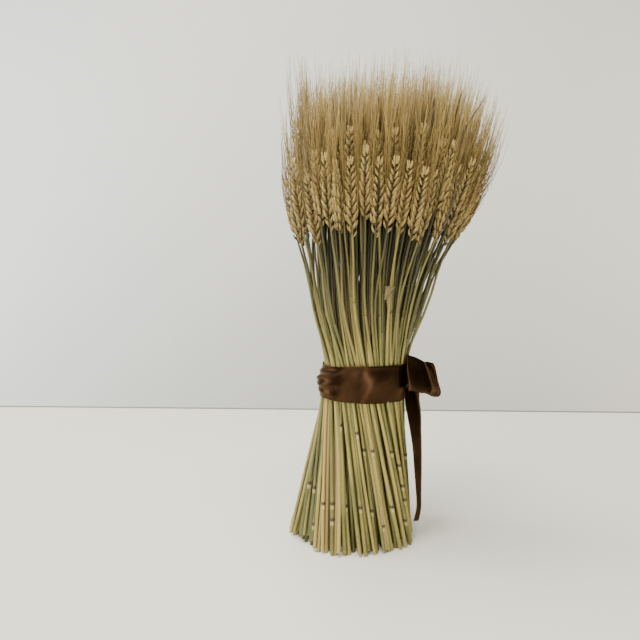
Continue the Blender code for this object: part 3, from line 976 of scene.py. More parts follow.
@dataclass(frozen=True)
class EarMaker:
    """Builds an ear: two rows of spikelets by turns, each of plump florets that end in an awn."""

    lean_out: float = math.radians(20)
    central_lean: float = math.radians(24)
    angle_scatter: float = 0.07
    aside: float = 0.10
    aside_scatter: float = 0.03
    floret_length: float = 0.0121
    length_scatter: tuple[float, float] = (0.94, 1.08)
    half_wide: float = 0.00198
    half_deep: float = 0.00190
    full_scatter: tuple[float, float] = (0.93, 1.06)
    first_rise: float = 0.015
    last_rise: float = 0.90
    row_out: float = 0.0007
    front_out: float = 0.0019
    # The ear's fullness: at its ends, how much it swells and from where, how it falls, and how it starts
    full_ends: float = 0.70
    full_swell: float = 0.30
    full_shift: float = 0.12
    full_fall: float = 0.34
    full_start: tuple[float, float] = (0.44, 3.0)
    central_out: float = 0.0013
    central_up: float = 0.0012
    central_size: float = 1.04
    # The three florets at the ear's tip
    tip_ways: tuple[tuple[float, float], ...] = ((-1.0, 0.0), (1.0, 0.0), (0.0, 1.0))
    tip_out: float = 0.0009
    tip_rise: float = 0.925
    tip_lean: float = 0.16
    tip_size: float = 0.66
    belly: float = 0.00055
    gold_scatter: float = 0.07
    awn_length: float = 0.0625
    awn_scatter: float = 0.0050
    awn_sides: int = 3
    awn_taper: tuple[tuple[float, float], ...] = ((0.0, 0.00029), (0.6, 0.0002204), (1.0, 0.00010))
    awn_reach: tuple[float, float] = (0.003, 0.0130)
    # The factor on an awn's reach at the ear's foot, and how much it falls up to the ear's tip
    awn_reach_fall: tuple[float, float] = (1.15, 0.4)
    # How far up its floret an awn starts, as a share of the floret's length
    awn_from: float = 0.94
    awn_straight: float = 0.30
    awn_turn_scatter: float = 0.5
    awn_upright: float = 0.28
    awn_aside: tuple[float, float, float] = (0.3, 0.8, 0.1)
    awn_gold_scatter: float = 0.36
    dark_awns: float = 0.05
    first_awned: int = 2
    low_ear: float = 0.4
    low_awn_share: float = 0.86

    def fullness(self, along: np.ndarray) -> np.ndarray:
        """How full the ear is along its length: fullest below its middle, and narrow at both ends.

        Args:
            along: Places along the ear, from 0 to 1.

        Returns:
            The factor on a floret's size at each place.
        """
        swell = np.sin(np.pi * np.minimum(1.0, along + self.full_shift))
        full = self.full_ends + self.full_swell * swell - self.full_fall * along**3
        return full * np.clip(self.full_start[0] + along * self.full_start[1], 0, 1)

    def florets(self, stalk: Stalk, build: EarBuild, draw: np.random.Generator) -> Florets:
        """The florets of an ear.

        Args:
            stalk: The stalk.
            build: How finely the ear is built.
            draw: The ear's own random draws.

        Returns:
            The side florets of the front, those of the back, the middle ones, and the three at the tip.
        """
        number = np.arange(build.spikelets)
        along = (number + 0.5) / build.spikelets
        row = np.where(number % 2 == 0, 1.0, -1.0)
        full = self.fullness(along) * draw.uniform(*self.full_scatter, len(number))
        rise = stalk.ear_length * (self.first_rise + self.last_rise * along)
        root, up, wide, size, place = [], [], [], [], []
        for front, lean in ((-1.0, self.lean_out), (1.0, self.lean_out), (0.0, self.central_lean)):
            tilt = lean + draw.normal(0, self.angle_scatter, len(number))
            aside = self.aside * front + draw.normal(0, self.aside_scatter, len(number))
            flat = np.stack((row * np.cos(tilt), 0 * tilt, -np.sin(tilt)), 1)
            start, lift = (self.row_out, 0.0) if front else (self.central_out, self.central_up)
            root.append(np.stack((row * start, front * self.front_out * full, rise + lift), 1))
            up.append(unit(np.stack((row * np.sin(tilt), aside, np.cos(tilt)), 1)))
            wide.append(flat if front else np.broadcast_to((0.0, 1.0, 0.0), flat.shape))
            size.append(full if front else full * self.central_size)
            place.append(along)
        tip = np.array(self.tip_ways)
        top = np.full(len(tip), stalk.ear_length * self.tip_rise)
        root.append(np.column_stack((tip * self.tip_out, top)))
        up.append(unit(np.column_stack((tip * self.tip_lean, np.ones(len(tip))))))
        wide.append(np.column_stack((np.abs(tip), np.zeros(len(tip)))))
        size.append(np.full(len(tip), self.tip_size))
        place.append(np.ones(len(tip)))
        root, up, wide, size, place = map(np.concatenate, (root, up, wide, size, place))
        wide = unit(wide - up * (wide * up).sum(1, keepdims=True))
        length = self.floret_length * size * draw.uniform(*self.length_scatter, len(size))
        half_wide, half_deep = self.half_wide * size, self.half_deep * size
        return Florets(root, up, wide, np.cross(up, wide), place, length, half_wide, half_deep)

    def bodies(self, grown: Florets, build: EarBuild) -> np.ndarray:
        """The corners of the florets' rings, with each floret's keel on its outer side.

        Args:
            grown: The florets.
            build: How finely the ear is built.

        Returns:
            The corners in the ear's own axes, as florets x rings x sides x 3.
        """
        at, swell = np.array(build.stations).T
        outward = unit(grown.root * (1.0, 1.0, 0.0) + OFF_AXIS)
        middle = grown.root[:, None] + grown.up[:, None] * (grown.length[:, None] * at)[..., None]
        middle = middle + outward[:, None] * (self.belly * np.sin(np.pi * at))[None, :, None]
        side = np.sign((grown.deep * outward).sum(1) + (grown.wide * outward).sum(1) * WIDE_WEIGHT)
        wide = grown.wide[:, None] * (grown.half_wide[:, None] * swell * build.slim)[..., None]
        deep = grown.deep[:, None] * (grown.half_deep[:, None] * swell * build.slim)[..., None]
        section = np.array(build.section) * np.stack((np.ones_like(side), side), -1)[:, None]
        corners = (middle[:, :, None] + wide[:, :, None] * section[:, None, :, 0, None]
                   + deep[:, :, None] * section[:, None, :, 1, None])
        flip = side > 0
        corners[flip] = corners[flip][:, :, ::-1]
        return corners

    def add(self, pile: TubePile, stalk: Stalk, build: EarBuild) -> None:
        """Adds a stalk's ear and its beard.

        Args:
            pile: Where the ear goes.
            stalk: The stalk.
            build: How finely the ear is built.
        """
        draw = np.random.default_rng(stalk.seed)
        grown = self.florets(stalk, build, draw)
        neck, axes = stalk.ear_frame()
        rings = neck + self.bodies(grown, build) @ axes
        gold = np.clip(stalk.gold + draw.normal(0, self.gold_scatter, len(rings)), 0, 1)
        own = draw.random(len(rings))
        up = np.array(build.stations)[:, 0, None]
        paint = painted(rings, gold[:, None, None], up, grown.along[:, None, None], own[:, None, None])
        pile.add(Zone.FLORET, rings, paint, Coat.EAR)
        self.add_beard(pile, stalk, build, draw, grown)

    def add_beard(self, pile: TubePile, stalk: Stalk, build: EarBuild, draw: np.random.Generator,
                  grown: Florets) -> None:
        """Adds the awns, one from the tip of each awned floret.

        Args:
            pile: Where the awns go.
            stalk: The stalk.
            build: How finely the ear is built.
            draw: The ear's own random draws.
            grown: The ear's florets.
        """
        neck, axes = stalk.ear_frame()
        lateral, total = np.arange(2 * build.spikelets), len(grown.along)
        chosen = lateral[lateral % build.spikelets >= self.first_awned]
        chosen = np.concatenate((chosen, np.arange(total - len(self.tip_ways), total)))
        along, up = grown.along[chosen], grown.up[chosen]
        tip = grown.root[chosen] + up * grown.length[chosen, None] * self.awn_from
        length = self.awn_length + draw.uniform(-1, 1, len(chosen)) * self.awn_scatter
        length *= np.where(along < self.low_ear, self.low_awn_share, 1.0)
        around = np.arctan2(tip[:, 1], tip[:, 0]) + draw.normal(0, self.awn_turn_scatter, len(chosen))
        reach = draw.uniform(*self.awn_reach, len(chosen))
        reach *= self.awn_reach_fall[0] - self.awn_reach_fall[1] * along
        end = np.stack((np.cos(around) * reach, np.sin(around) * reach, tip[:, 2] + length), 1)
        control = tip + up * length[:, None] * self.awn_straight
        share = np.linspace(0, 1, build.awn_rings)[:, None]
        curve = ((1 - share) ** 2 * tip[:, None] + 2 * share * (1 - share) * control[:, None]
                 + share**2 * end[:, None])
        upright = axes[2] * (1.0, 1.0, 0.0) * self.awn_upright
        curve = keep_inside(neck + curve @ axes - upright * share**2 * length[:, None, None])
        run = unit(curve[:, -1] - curve[:, 0])
        wide = unit(np.cross(run, self.awn_aside))
        deep = np.cross(run, wide)
        radius = np.interp(share, *zip(*self.awn_taper, strict=True))
        section = round_shape(self.awn_sides)
        rings = ring_corners(curve, wide[:, None] * radius, deep[:, None] * radius, section)
        gold = np.clip(stalk.gold + draw.normal(0, self.awn_gold_scatter, len(rings)), 0, 1)
        dark = draw.random(len(rings)) < self.dark_awns
        own = draw.random(len(rings))
        paint = painted(rings, gold[:, None, None], share, dark[:, None, None], own[:, None, None])
        pile.add(Zone.AWN, rings, paint, Coat.AWN)


def keep_inside(curve: np.ndarray, margin: float = 0.0015, shortest: float = 0.2) -> np.ndarray:
    """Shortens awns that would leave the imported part's box.

    Args:
        curve: The awns' middle lines, as awns x points x 3.
        margin: How far inside the box they stay.
        shortest: The least share of its length that an awn keeps.

    Returns:
        The lines, with each too long one drawn back towards its root.
    """
    low, high = (np.array(corner) for corner in CAD_BOX)
    root = curve[:, :1]
    run = curve - root
    room = np.where(run > 0, (high - margin - root) / np.maximum(run, TINY), FAR)
    room = np.minimum(room, np.where(run < 0, (low + margin - root) / np.minimum(run, -TINY), FAR))
    return root + run * np.clip(room.min(axis=(1, 2)), shortest, 1.0)[:, None, None]


# Finishes


class Grain(NamedTuple):
    """A noise pattern: repeats per metre along each axis, its finer layers and how strong they are."""

    size: Place
    detail: float = 2.0
    rough: float = 0.5


class Recipe:
    """A material that is put together from nodes."""

    def __init__(self, name: str) -> None:
        """Starts a material with a plain shader.

        Args:
            name: The material's name.
        """
        self.material = bpy.data.materials.new(name)
        self.material.use_nodes = True
        self.tree = self.material.node_tree
        self.shader = self.tree.nodes["Principled BSDF"]
        self.place = self.node("ShaderNodeTexCoord").outputs["Object"]

    def node(self, kind: str, inputs: dict[int | str, object] | None = None,
             **settings: object) -> bpy.types.Node:
        """Adds a node.

        Args:
            kind: The node's kind.
            inputs: What its inputs are given, by their numbers or names.
            **settings: Its own settings by name.

        Returns:
            The node.
        """
        made = self.tree.nodes.new(kind)
        for key, value in settings.items():
            setattr(made, key, value)
        for key, value in (inputs or {}).items():
            self.give(made.inputs[key], value)
        return made

    def give(self, socket: Socket, value: object) -> None:
        """Sets a socket to a plain value, or links it to another socket.

        Args:
            socket: The socket.
            value: A number, a colour or a socket.
        """
        if isinstance(value, Socket):
            self.tree.links.new(value, socket)
        elif isinstance(value, tuple) and len(value) == 3 and socket.type == "RGBA":
            socket.default_value = (*value, 1.0)
        else:
            socket.default_value = value

    def noise(self, grain: Grain, own: Socket | None = None, place: Socket | None = None) -> Socket:
        """A noise pattern.

        Args:
            grain: Its size and layers.
            own: A socket that makes it differ between stalks, or None.
            place: The coordinates that it follows, or None for the object's own.

        Returns:
            The pattern, from 0 to 1.
        """
        place = self.place if place is None else place
        scaled = self.node("ShaderNodeMapping", {"Vector": place, "Scale": grain.size}).outputs["Vector"]
        inputs = {"Vector": scaled, "Scale": 1.0, "Detail": grain.detail, "Roughness": grain.rough}
        if own is None:
            return self.node("ShaderNodeTexNoise", inputs).outputs["Fac"]
        inputs["W"] = self.maths("MULTIPLY", own, OWN_NOISE)
        return self.node("ShaderNodeTexNoise", inputs, noise_dimensions="4D").outputs["Fac"]

    def maths(self, kind: str, first: object, second: object) -> Socket:
        """A sum of two numbers, of the named kind."""
        return self.node("ShaderNodeMath", {0: first, 1: second}, operation=kind).outputs[0]

    def span(self, value: object, ends: Span) -> Socket:
        """A value's range, stretched to another range and held inside it."""
        inputs = dict(zip(SPAN_INPUTS, (value, *ends), strict=True))
        return self.node("ShaderNodeMapRange", inputs, clamp=True).outputs["Result"]

    def blend(self, share: object, first: object, second: object, kind: str = "MIX") -> Socket:
        """Two colours, mixed in the named way, with a share of the second."""
        inputs = dict(zip(MIX_INPUTS, (share, first, second), strict=True))
        return self.node("ShaderNodeMix", inputs, data_type="RGBA", blend_type=kind).outputs[MIX_OUTPUT]

    def ramp(self, value: object, places: tuple[float, ...], colours: tuple[Colour, ...]) -> Socket:
        """A colour for each value, between stops.

        Args:
            value: The value.
            places: The value at each stop.
            colours: The colour at each stop.

        Returns:
            The colour.
        """
        made = self.node("ShaderNodeValToRGB", {"Fac": value})
        elements = made.color_ramp.elements
        while len(elements) < len(places):
            elements.new(0.5)
        for element, place, colour in zip(elements, places, colours, strict=True):
            element.position, element.color = place, (*colour, 1.0)
        return made.outputs["Color"]

    def growth(self) -> list[Socket]:
        """The four growth marks of the mesh.

        Returns:
            The marks, in their order.
        """
        read = self.node("ShaderNodeAttribute", attribute_name=PAINT)
        split = self.node("ShaderNodeSeparateColor", {"Color": read.outputs["Color"]})
        return [*split.outputs[:3], read.outputs["Alpha"]]

    def height(self) -> Socket:
        """The height over the table."""
        return self.node("ShaderNodeSeparateXYZ", {"Vector": self.place}).outputs["Z"]

    def bump(self, pattern: Socket, relief: Relief) -> None:
        """Gives the surface a relief in a pattern."""
        inputs = {"Strength": relief[0], "Distance": relief[1], "Height": pattern}
        self.give(self.shader.inputs["Normal"], self.node("ShaderNodeBump", inputs).outputs["Normal"])

    def surface(self, **values: object) -> None:
        """Sets the shader's sockets, with _ for a space in a name."""
        for key, value in values.items():
            self.give(self.shader.inputs[key.replace("_", " ")], value)


@dataclass(frozen=True)
class StrawFinish:
    """Dry stems: from yellow-green over straw to a pinkish tan, with dark nodes under a pale bloom, and
    darker from the waist up, partly by painted shade.
    """

    name: str = "dry_straw"
    green: Colour = (0.105, 0.104, 0.024)
    olive: Colour = (0.178, 0.161, 0.038)
    straw: Colour = (0.385, 0.312, 0.082)
    tan: Colour = (0.410, 0.279, 0.090)
    tints: tuple[float, ...] = (0.0, 0.22, 0.55, 0.95)
    fibres: Grain = Grain((2400, 2400, 22), 3.0, 0.65)
    fibre_tint: Span = (0.3, 0.7, -0.16, 0.16)
    patches: Grain = Grain((90, 90, 22))
    patch_tint: Span = (0.3, 0.7, -0.15, 0.15)
    # upper: a darker tone multiplied over the stems from the waist up; on the outer stalks partly their
    # duller, more olive colour and partly painted shade of the crowded neck, on the copies for the stalks
    # inside it is painted shade
    upper: Colour = (0.62, 0.61, 0.52)
    upper_tone_and_shade_share: Span = (0.19, 0.30, 0.0, 1.0)
    speck: Colour = (0.22, 0.14, 0.05)
    specks: Grain = Grain((700, 700, 160))
    speck_share: Span = (0.66, 0.74, 0.0, 0.35)
    bloom: Colour = (0.70, 0.58, 0.24)
    bloom_share: float = 0.5
    node: Colour = (0.030, 0.014, 0.007)
    rough: Span = (0.3, 0.7, 0.40, 0.56)
    relief: Relief = (0.35, 0.00012)

    def material(self) -> Material:
        """The finish as a material.

        Returns:
            The material.
        """
        made = Recipe(self.name)
        tint, dark, bloom, own = made.growth()
        fibres = made.noise(self.fibres, own)
        patches = made.noise(self.patches, own)
        shade = made.maths("ADD", tint, made.span(patches, self.patch_tint))
        shade = made.maths("ADD", shade, made.span(fibres, self.fibre_tint))
        colour = made.ramp(shade, self.tints, (self.green, self.olive, self.straw, self.tan))
        # Darker from the waist up: partly the stems' own olive tone, partly painted shade
        higher = made.span(made.height(), self.upper_tone_and_shade_share)
        colour = made.blend(higher, colour, made.blend(1.0, colour, self.upper, "MULTIPLY"))
        colour = made.blend(made.span(made.noise(self.specks, own), self.speck_share), colour, self.speck)
        colour = made.blend(made.maths("MULTIPLY", bloom, self.bloom_share), colour, self.bloom)
        colour = made.blend(dark, colour, self.node)
        made.surface(Base_Color=colour, Roughness=made.span(fibres, self.rough))
        made.bump(fibres, self.relief)
        return made.material


# Darker copies of the straw for the stalks inside the outer ring: painted shade of the packed bundle, deepest
# from the waist up
SHADED_NEXT_STRAW = StrawFinish(
    name="dry_straw_painted_shade_behind", green=(0.085, 0.084, 0.019), olive=(0.145, 0.131, 0.031),
    straw=(0.300, 0.243, 0.063), tan=(0.330, 0.222, 0.071), upper=(0.24, 0.25, 0.20),
)
SHADED_DEEP_STRAW = StrawFinish(
    name="dry_straw_painted_shade_deep", green=(0.10, 0.10, 0.03), olive=(0.14, 0.125, 0.04), straw=(0.20, 0.165, 0.055),
    tan=(0.20, 0.13, 0.055), upper=(0.25, 0.26, 0.21),
)


@dataclass(frozen=True)
class EarFinish:
    """Glumes and lemmas: golden tan with fine veins, near black at their roots, which is painted shade
    between the overlapping florets, and paler at their tips, partly their own colour and partly painted
    highlight.
    """

    # root is painted shade between the florets; tip is partly the florets' own pale colour, partly painted
    # highlight
    root: Colour = (0.020, 0.009, 0.002)
    body: Colour = (0.262, 0.168, 0.040)
    tip: Colour = (0.800, 0.605, 0.210)
    rises: tuple[float, ...] = (0.34, 0.54, 0.74, 1.0)
    red: Colour = (0.235, 0.135, 0.034)
    red_share: Span = (0.0, 0.9, 0.55, 0.0)
    blotches: Grain = Grain((160, 160, 110))
    blotch_share: Span = (0.35, 0.75, 0.0, 0.35)
    top_share: Span = (0.70, 1.0, 0.0, 0.45)
    veins: Grain = Grain((1500, 1500, 120), 3.0, 0.6)
    vein_light: Span = (0.35, 0.65, 0.70, 1.14)
    rough: Span = (0.3, 0.7, 0.42, 0.60)
    relief: Relief = (0.5, 0.00018)

    def material(self) -> Material:
        """The finish as a material.

        Returns:
            The material.
        """
        made = Recipe("wheat_ear")
        gold, up, along, own = made.growth()
        veins = made.noise(self.veins, own)
        blotches = made.noise(self.blotches, own)
        # Along each floret: painted shade at its root, its own colour, then a tip that is partly painted
        # highlight
        colour = made.ramp(up, self.rises, (self.root, self.body, self.body, self.tip))
        colour = made.blend(made.span(gold, self.red_share), colour, self.red)
        colour = made.blend(made.span(blotches, self.blotch_share), colour, self.tip)
        colour = made.blend(made.span(along, self.top_share), colour, self.tip)
        light = made.span(veins, self.vein_light)
        grey = made.node("ShaderNodeCombineColor", dict.fromkeys(range(3), light))
        colour = made.blend(1.0, colour, grey.outputs["Color"], "MULTIPLY")
        made.surface(Base_Color=colour, Roughness=made.span(veins, self.rough))
        made.bump(veins, self.relief)
        return made.material


@dataclass(frozen=True)
class AwnFinish:
    """Awns: golden brown, a little paler towards their tips, a few of them dark."""

    root: Colour = (0.172, 0.103, 0.022)
    tip: Colour = (0.478, 0.332, 0.082)
    brown: Colour = (0.060, 0.031, 0.007)
    brown_share: Span = (0.0, 0.8, 0.75, 0.0)
    mottle: Grain = Grain((500, 500, 140))
    mottle_share: Span = (0.3, 0.7, 0.0, 0.3)
    dark: Colour = (0.030, 0.020, 0.016)
    rough: Span = (0.3, 0.7, 0.42, 0.58)

    def material(self) -> Material:
        """The finish as a material.

        Returns:
            The material.
        """
        made = Recipe("wheat_awn")
        gold, up, dark, own = made.growth()
        colour = made.ramp(up, (0.0, 1.0), (self.root, self.tip))
        mottle = made.noise(self.mottle, own)
        colour = made.blend(made.span(gold, self.brown_share), colour, self.brown)
        colour = made.blend(made.span(mottle, self.mottle_share), colour, self.tip)
        colour = made.blend(dark, colour, self.dark)
        made.surface(Base_Color=colour, Roughness=made.span(mottle, self.rough))
        return made.material


@dataclass(frozen=True)
class SatinFinish:
    """Dark brown satin, woven so finely that it shows as sheen with faint streaks along the cloth."""

    body: Colour = (0.0440, 0.0215, 0.0098)
    pale: Colour = (0.0780, 0.0420, 0.0210)
    weave: Grain = Grain((60, 2600, 1), 3.0)
    weave_share: Span = (0.3, 0.7, 0.0, 0.35)
    deep: Colour = (0.0190, 0.0082, 0.0032)
    clouds: Grain = Grain((45, 45, 45))
    cloud_share: Span = (0.35, 0.65, 0.0, 0.7)
    rough: Span = (0.3, 0.7, 0.30, 0.37)
    metallic: float = 0.9
    gloss_level: float = 0.3
    gloss: Colour = (0.66, 0.58, 0.50)
    anisotropic: float = 0.6
    gloss_turn: float = 0.25
    relief: Relief = (0.12, 0.00005)

    def material(self) -> Material:
        """The finish as a material.

        Returns:
            The material.
        """
        made = Recipe("brown_satin")
        weave = made.noise(self.weave, place=made.node("ShaderNodeUVMap", uv_map=CLOTH).outputs["UV"])
        clouds = made.noise(self.clouds)
        colour = made.blend(made.span(weave, self.weave_share), self.body, self.pale)
        colour = made.blend(made.span(clouds, self.cloud_share), colour, self.deep)
        made.surface(Base_Color=colour, Roughness=made.span(weave, self.rough))
        made.surface(Metallic=self.metallic, Specular_IOR_Level=self.gloss_level, Specular_Tint=self.gloss,
                     Anisotropic=self.anisotropic, Anisotropic_Rotation=self.gloss_turn)
        made.bump(weave, self.relief)
        return made.material


@dataclass(frozen=True)
class TwineFinish:
    """Rough tan twine."""

    pale: Colour = (0.46, 0.34, 0.19)
    brown: Colour = (0.24, 0.155, 0.075)
    fuzz: Grain = Grain((1400, 1400, 1400), 4.0, 0.7)
    rough: Span = (0.2, 0.8, 0.8, 0.98)
    relief: Relief = (0.8, 0.0003)

    def material(self) -> Material:
        """The finish as a material.

        Returns:
            The material.
        """
        made = Recipe("tan_twine")
        fuzz = made.noise(self.fuzz)
        colour = made.blend(fuzz, self.brown, self.pale)
        made.surface(Base_Color=colour, Roughness=made.span(fuzz, self.rough))
        made.bump(fuzz, self.relief)
        return made.material


@dataclass(frozen=True)
class LeafFinish:
    """A dry leaf: papery tan with veins along it."""

    pale: Colour = (0.275, 0.200, 0.078)
    brown: Colour = (0.105, 0.074, 0.030)
    veins: Grain = Grain((1300, 500, 90), 3.0, 0.6)
    pale_share: Span = (0.3, 0.75, 0.0, 1.0)
    rough: Span = (0.2, 0.8, 0.55, 0.75)
    relief: Relief = (0.6, 0.0002)

    def material(self) -> Material:
        """The finish as a material.

        Returns:
            The material.
        """
        made = Recipe("dry_leaf")
        veins = made.noise(self.veins)
        colour = made.blend(made.span(veins, self.pale_share), self.brown, self.pale)
        made.surface(Base_Color=colour, Roughness=made.span(veins, self.rough))
        made.bump(veins, self.relief)
        return made.material


@dataclass(frozen=True)
class PlainFinish:
    """A matt surface of the studio with a faint unevenness: pale for the table and the wall, dark grey for
    the painted shadow strip at the table's back edge.
    """

    name: str
    colour: Colour
    other: Colour
    rough: float
    uneven: float = 0.03
    cloud_ends: tuple[float, float] = (0.3, 0.7)
    clouds: Grain = Grain((5, 5, 5), 3.0)

    def material(self) -> Material:
        """The finish as a material.

        Returns:
            The material.
        """
        made = Recipe(self.name)
        clouds = made.noise(self.clouds)
        rough = made.span(clouds, (*self.cloud_ends, self.rough - self.uneven, self.rough + self.uneven))
        made.surface(Base_Color=made.blend(clouds, self.colour, self.other), Roughness=rough)
        return made.material


# The sheaf


def nearest(stalks: list[Stalk], place: Place) -> Stalk:
    """The stalk that comes nearest to a place, at the place's height."""
    return min(stalks, key=lambda stalk: float(np.linalg.norm(stalk.line(np.array(place[2])) - place)))


@dataclass(frozen=True)
class LeafScrap:
    """The scrap of dry leaf above the ribbon, which folds over itself."""

    place: Place = (0.036, -0.048, 0.240)
    # Across, front to back and up, and half the width, in mm
    line: tuple[tuple[float, float, float, float], ...] = (
        (35.6, -51.4, 239.5, 1.2), (34.8, -54.6, 246.0, 1.8), (34.4, -57.6, 254.0, 2.6),
        (34.6, -58.8, 262.0, 4.2), (34.9, -59.4, 266.2, 5.4), (35.0, -60.4, 267.2, 5.8),
        (34.8, -61.2, 266.0, 5.3), (33.2, -61.6, 262.5, 3.7), (31.4, -61.8, 258.4, 2.0),
        (29.8, -61.8, 254.0, 0.4),
    )
    across: Place = (1.0, 0.15, 0.0)
    half_thick: float = 0.00022
    section: tuple[tuple[float, float], ...] = (
        (1.0, 0.0), (0.5, 1.0), (-0.5, 1.0), (-1.0, 0.0), (-0.5, -1.0), (0.5, -1.0),
    )
    paint: tuple[float, float, float, float] = (0.5, 0.5, 0.5, 0.5)

    def add(self, pile: TubePile, stalk: Stalk) -> None:
        """Adds the scrap to a stalk's pile.

        Args:
            pile: Where it goes.
            stalk: The stalk that it grows on.
        """
        table = np.array(self.line) / MM_PER_METRE
        middle = table[:, :3].copy()
        middle[0] = stalk.line(np.array(middle[0, 2]))
        run = unit(np.gradient(middle, axis=0))
        wide = unit(np.array(self.across) - run * (run @ self.across)[:, None])
        deep = np.cross(run, wide)
        rings = ring_corners(middle, wide * table[:, 3:], deep * self.half_thick, np.array(self.section))
        pile.add(Zone.FLORET, rings[None], np.array(self.paint), Coat.LEAF)


@dataclass(frozen=True)
class DarkBlade:
    """A dark blade of leaf that rises from a stalk's neck, beside its ear, into the beard."""

    line: tuple[Place, ...]
    half_wide: float = 0.0011
    beside: Place = (0.006, -0.003, 0.0)
    rings: int = 17
    sides: int = 6
    flat_to: Place = (0.2, 1.0, 0.0)
    thin: float = 3.0
    # The width along the blade, by shares of its length
    taper: tuple[tuple[float, float], ...] = ((0.0, 0.6), (0.3, 1.0), (0.8, 0.9), (1.0, 0.15))
    paint: tuple[float, float, float, float] = (0.0, 0.2, 0.75, 0.5)

    def add(self, pile: TubePile, stalk: Stalk) -> None:
        """Adds the blade to a stalk's pile.

        Args:
            pile: Where it goes.
            stalk: The stalk that it grows on.
        """
        neck = stalk.line(np.array(stalk.neck))
        line = smooth((neck, (neck + self.line[0]) / 2 + self.beside, *self.line), self.rings)
        run = unit(np.gradient(line, axis=0))
        wide = unit(np.cross(run, self.flat_to))
        share = np.linspace(0, 1, len(line))[:, None]
        half = self.half_wide * np.interp(share, *zip(*self.taper, strict=True))
        deep = np.cross(run, wide)
        rings = ring_corners(line, wide * half, deep * half / self.thin, round_shape(self.sides))
        pile.add(Zone.AWN, rings[None], np.array(self.paint), Coat.AWN)


@dataclass(frozen=True)
class Wheat:
    """All the stalks, with their stems, ears and beards."""

    plan: StalkPlan = StalkPlan()
    stems: StemMaker = StemMaker()
    ears: EarMaker = EarMaker()
    leaf: LeafScrap = LeafScrap()
    blades: tuple[DarkBlade, ...] = (
        DarkBlade(((0.0945, -0.080, 0.3765), (0.0955, -0.088, 0.4005), (0.1020, -0.090, 0.4160),
                   (0.1190, -0.088, 0.4420))),
        DarkBlade(((0.0690, -0.088, 0.4120), (0.0679, -0.104, 0.4300), (0.0676, -0.108, 0.4340)), 0.0010),
        DarkBlade(((0.0920, -0.078, 0.4180), (0.0930, -0.092, 0.4350), (0.0950, -0.097, 0.4445)), 0.0010),
    )
    pack_sizes: tuple[int, ...] = (23, 23, 50, 50, 50, 47)
    near_packs: int = 2

    def build(self) -> list[bpy.types.Object]:
        """Builds every stalk.

        Returns:
            The single stalks of the outer ring, then the packs inside it.
        """
        finishes = [finish.material() for finish in (StrawFinish(), EarFinish(), AwnFinish(), LeafFinish())]
        stalks = self.plan.stalks()
        outer = [s for s in stalks if s.depth is Depth.OUTER]
        inner = [s for s in stalks if s.depth is not Depth.OUTER]
        leafy = nearest(outer, self.leaf.place)
        pieces = []
        for stalk in outer:
            pile = TubePile()
            self.add(pile, stalk)
            if stalk is leafy:
                self.leaf.add(pile, stalk)
            for blade in self.blades:
                if stalk is nearest(outer, blade.line[0]):
                    blade.add(pile, stalk)
            piece = pile.build(f"wheat_{stalk.name}", finishes if stalk is leafy else finishes[:Coat.LEAF])
            pieces.append(self.place(piece, f"stalk_{stalk.name}"))
        # The stalks inside the outer ring take the darker copies of the straw, which are painted shade
        behind, deep = SHADED_NEXT_STRAW.material(), SHADED_DEEP_STRAW.material()
        first = 0
        for number, size in enumerate(self.pack_sizes, 1):
            pile = TubePile()
            for stalk in inner[first:first + size]:
                self.add(pile, stalk)
            first += size
            straw = behind if number <= self.near_packs else deep
            piece = pile.build(f"wheat_pack_{number}", [straw, *finishes[Coat.EAR:Coat.LEAF]])
            pieces.append(self.place(piece, "inner_stalks"))
        assert first == len(inner), (first, len(inner))
        return pieces

    def add(self, pile: TubePile, stalk: Stalk) -> None:
        """Adds one stalk's stem, ear and beard to a pile."""
        self.stems.add(pile, stalk)
        self.ears.add(pile, stalk, PLAIN_EAR if stalk.depth is Depth.PACKED else FINE_EAR)

    @staticmethod
    def place(piece: bpy.types.Object, node: str) -> bpy.types.Object:
        """Lets a piece stand for its node.

        Args:
            piece: The piece.
            node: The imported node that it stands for.

        Returns:
            The piece.
        """
        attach(piece, BODY)
        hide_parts(node)
        return piece


# The ribbon


class Ripple(NamedTuple):
    """A wave in the band: its height, how often it comes round, its twist across the ribbon and its phase."""

    height: float
    around: float
    twist: float
    phase: float


class Fold(NamedTuple):
    """A gathered fold: where its middle starts, how it rises round the waist, its half width and height."""

    start: float
    rise: float
    half_wide: float
    height: float


def hump(value: np.ndarray, middle: np.ndarray | float, half: float, power: float = 2.0) -> np.ndarray:
    """A smooth hump of height 1 round a middle, flatter on top and steeper beside it for a higher power."""
    return np.exp(-np.abs((value - middle) / half) ** power)


def ripples(waves: tuple[Ripple, ...], angle: np.ndarray, across: np.ndarray) -> np.ndarray:
    """The sum of some waves, round the waist by across the ribbon."""
    return sum(wave.height * np.sin(wave.around * angle + wave.twist * across + wave.phase) for wave in waves)


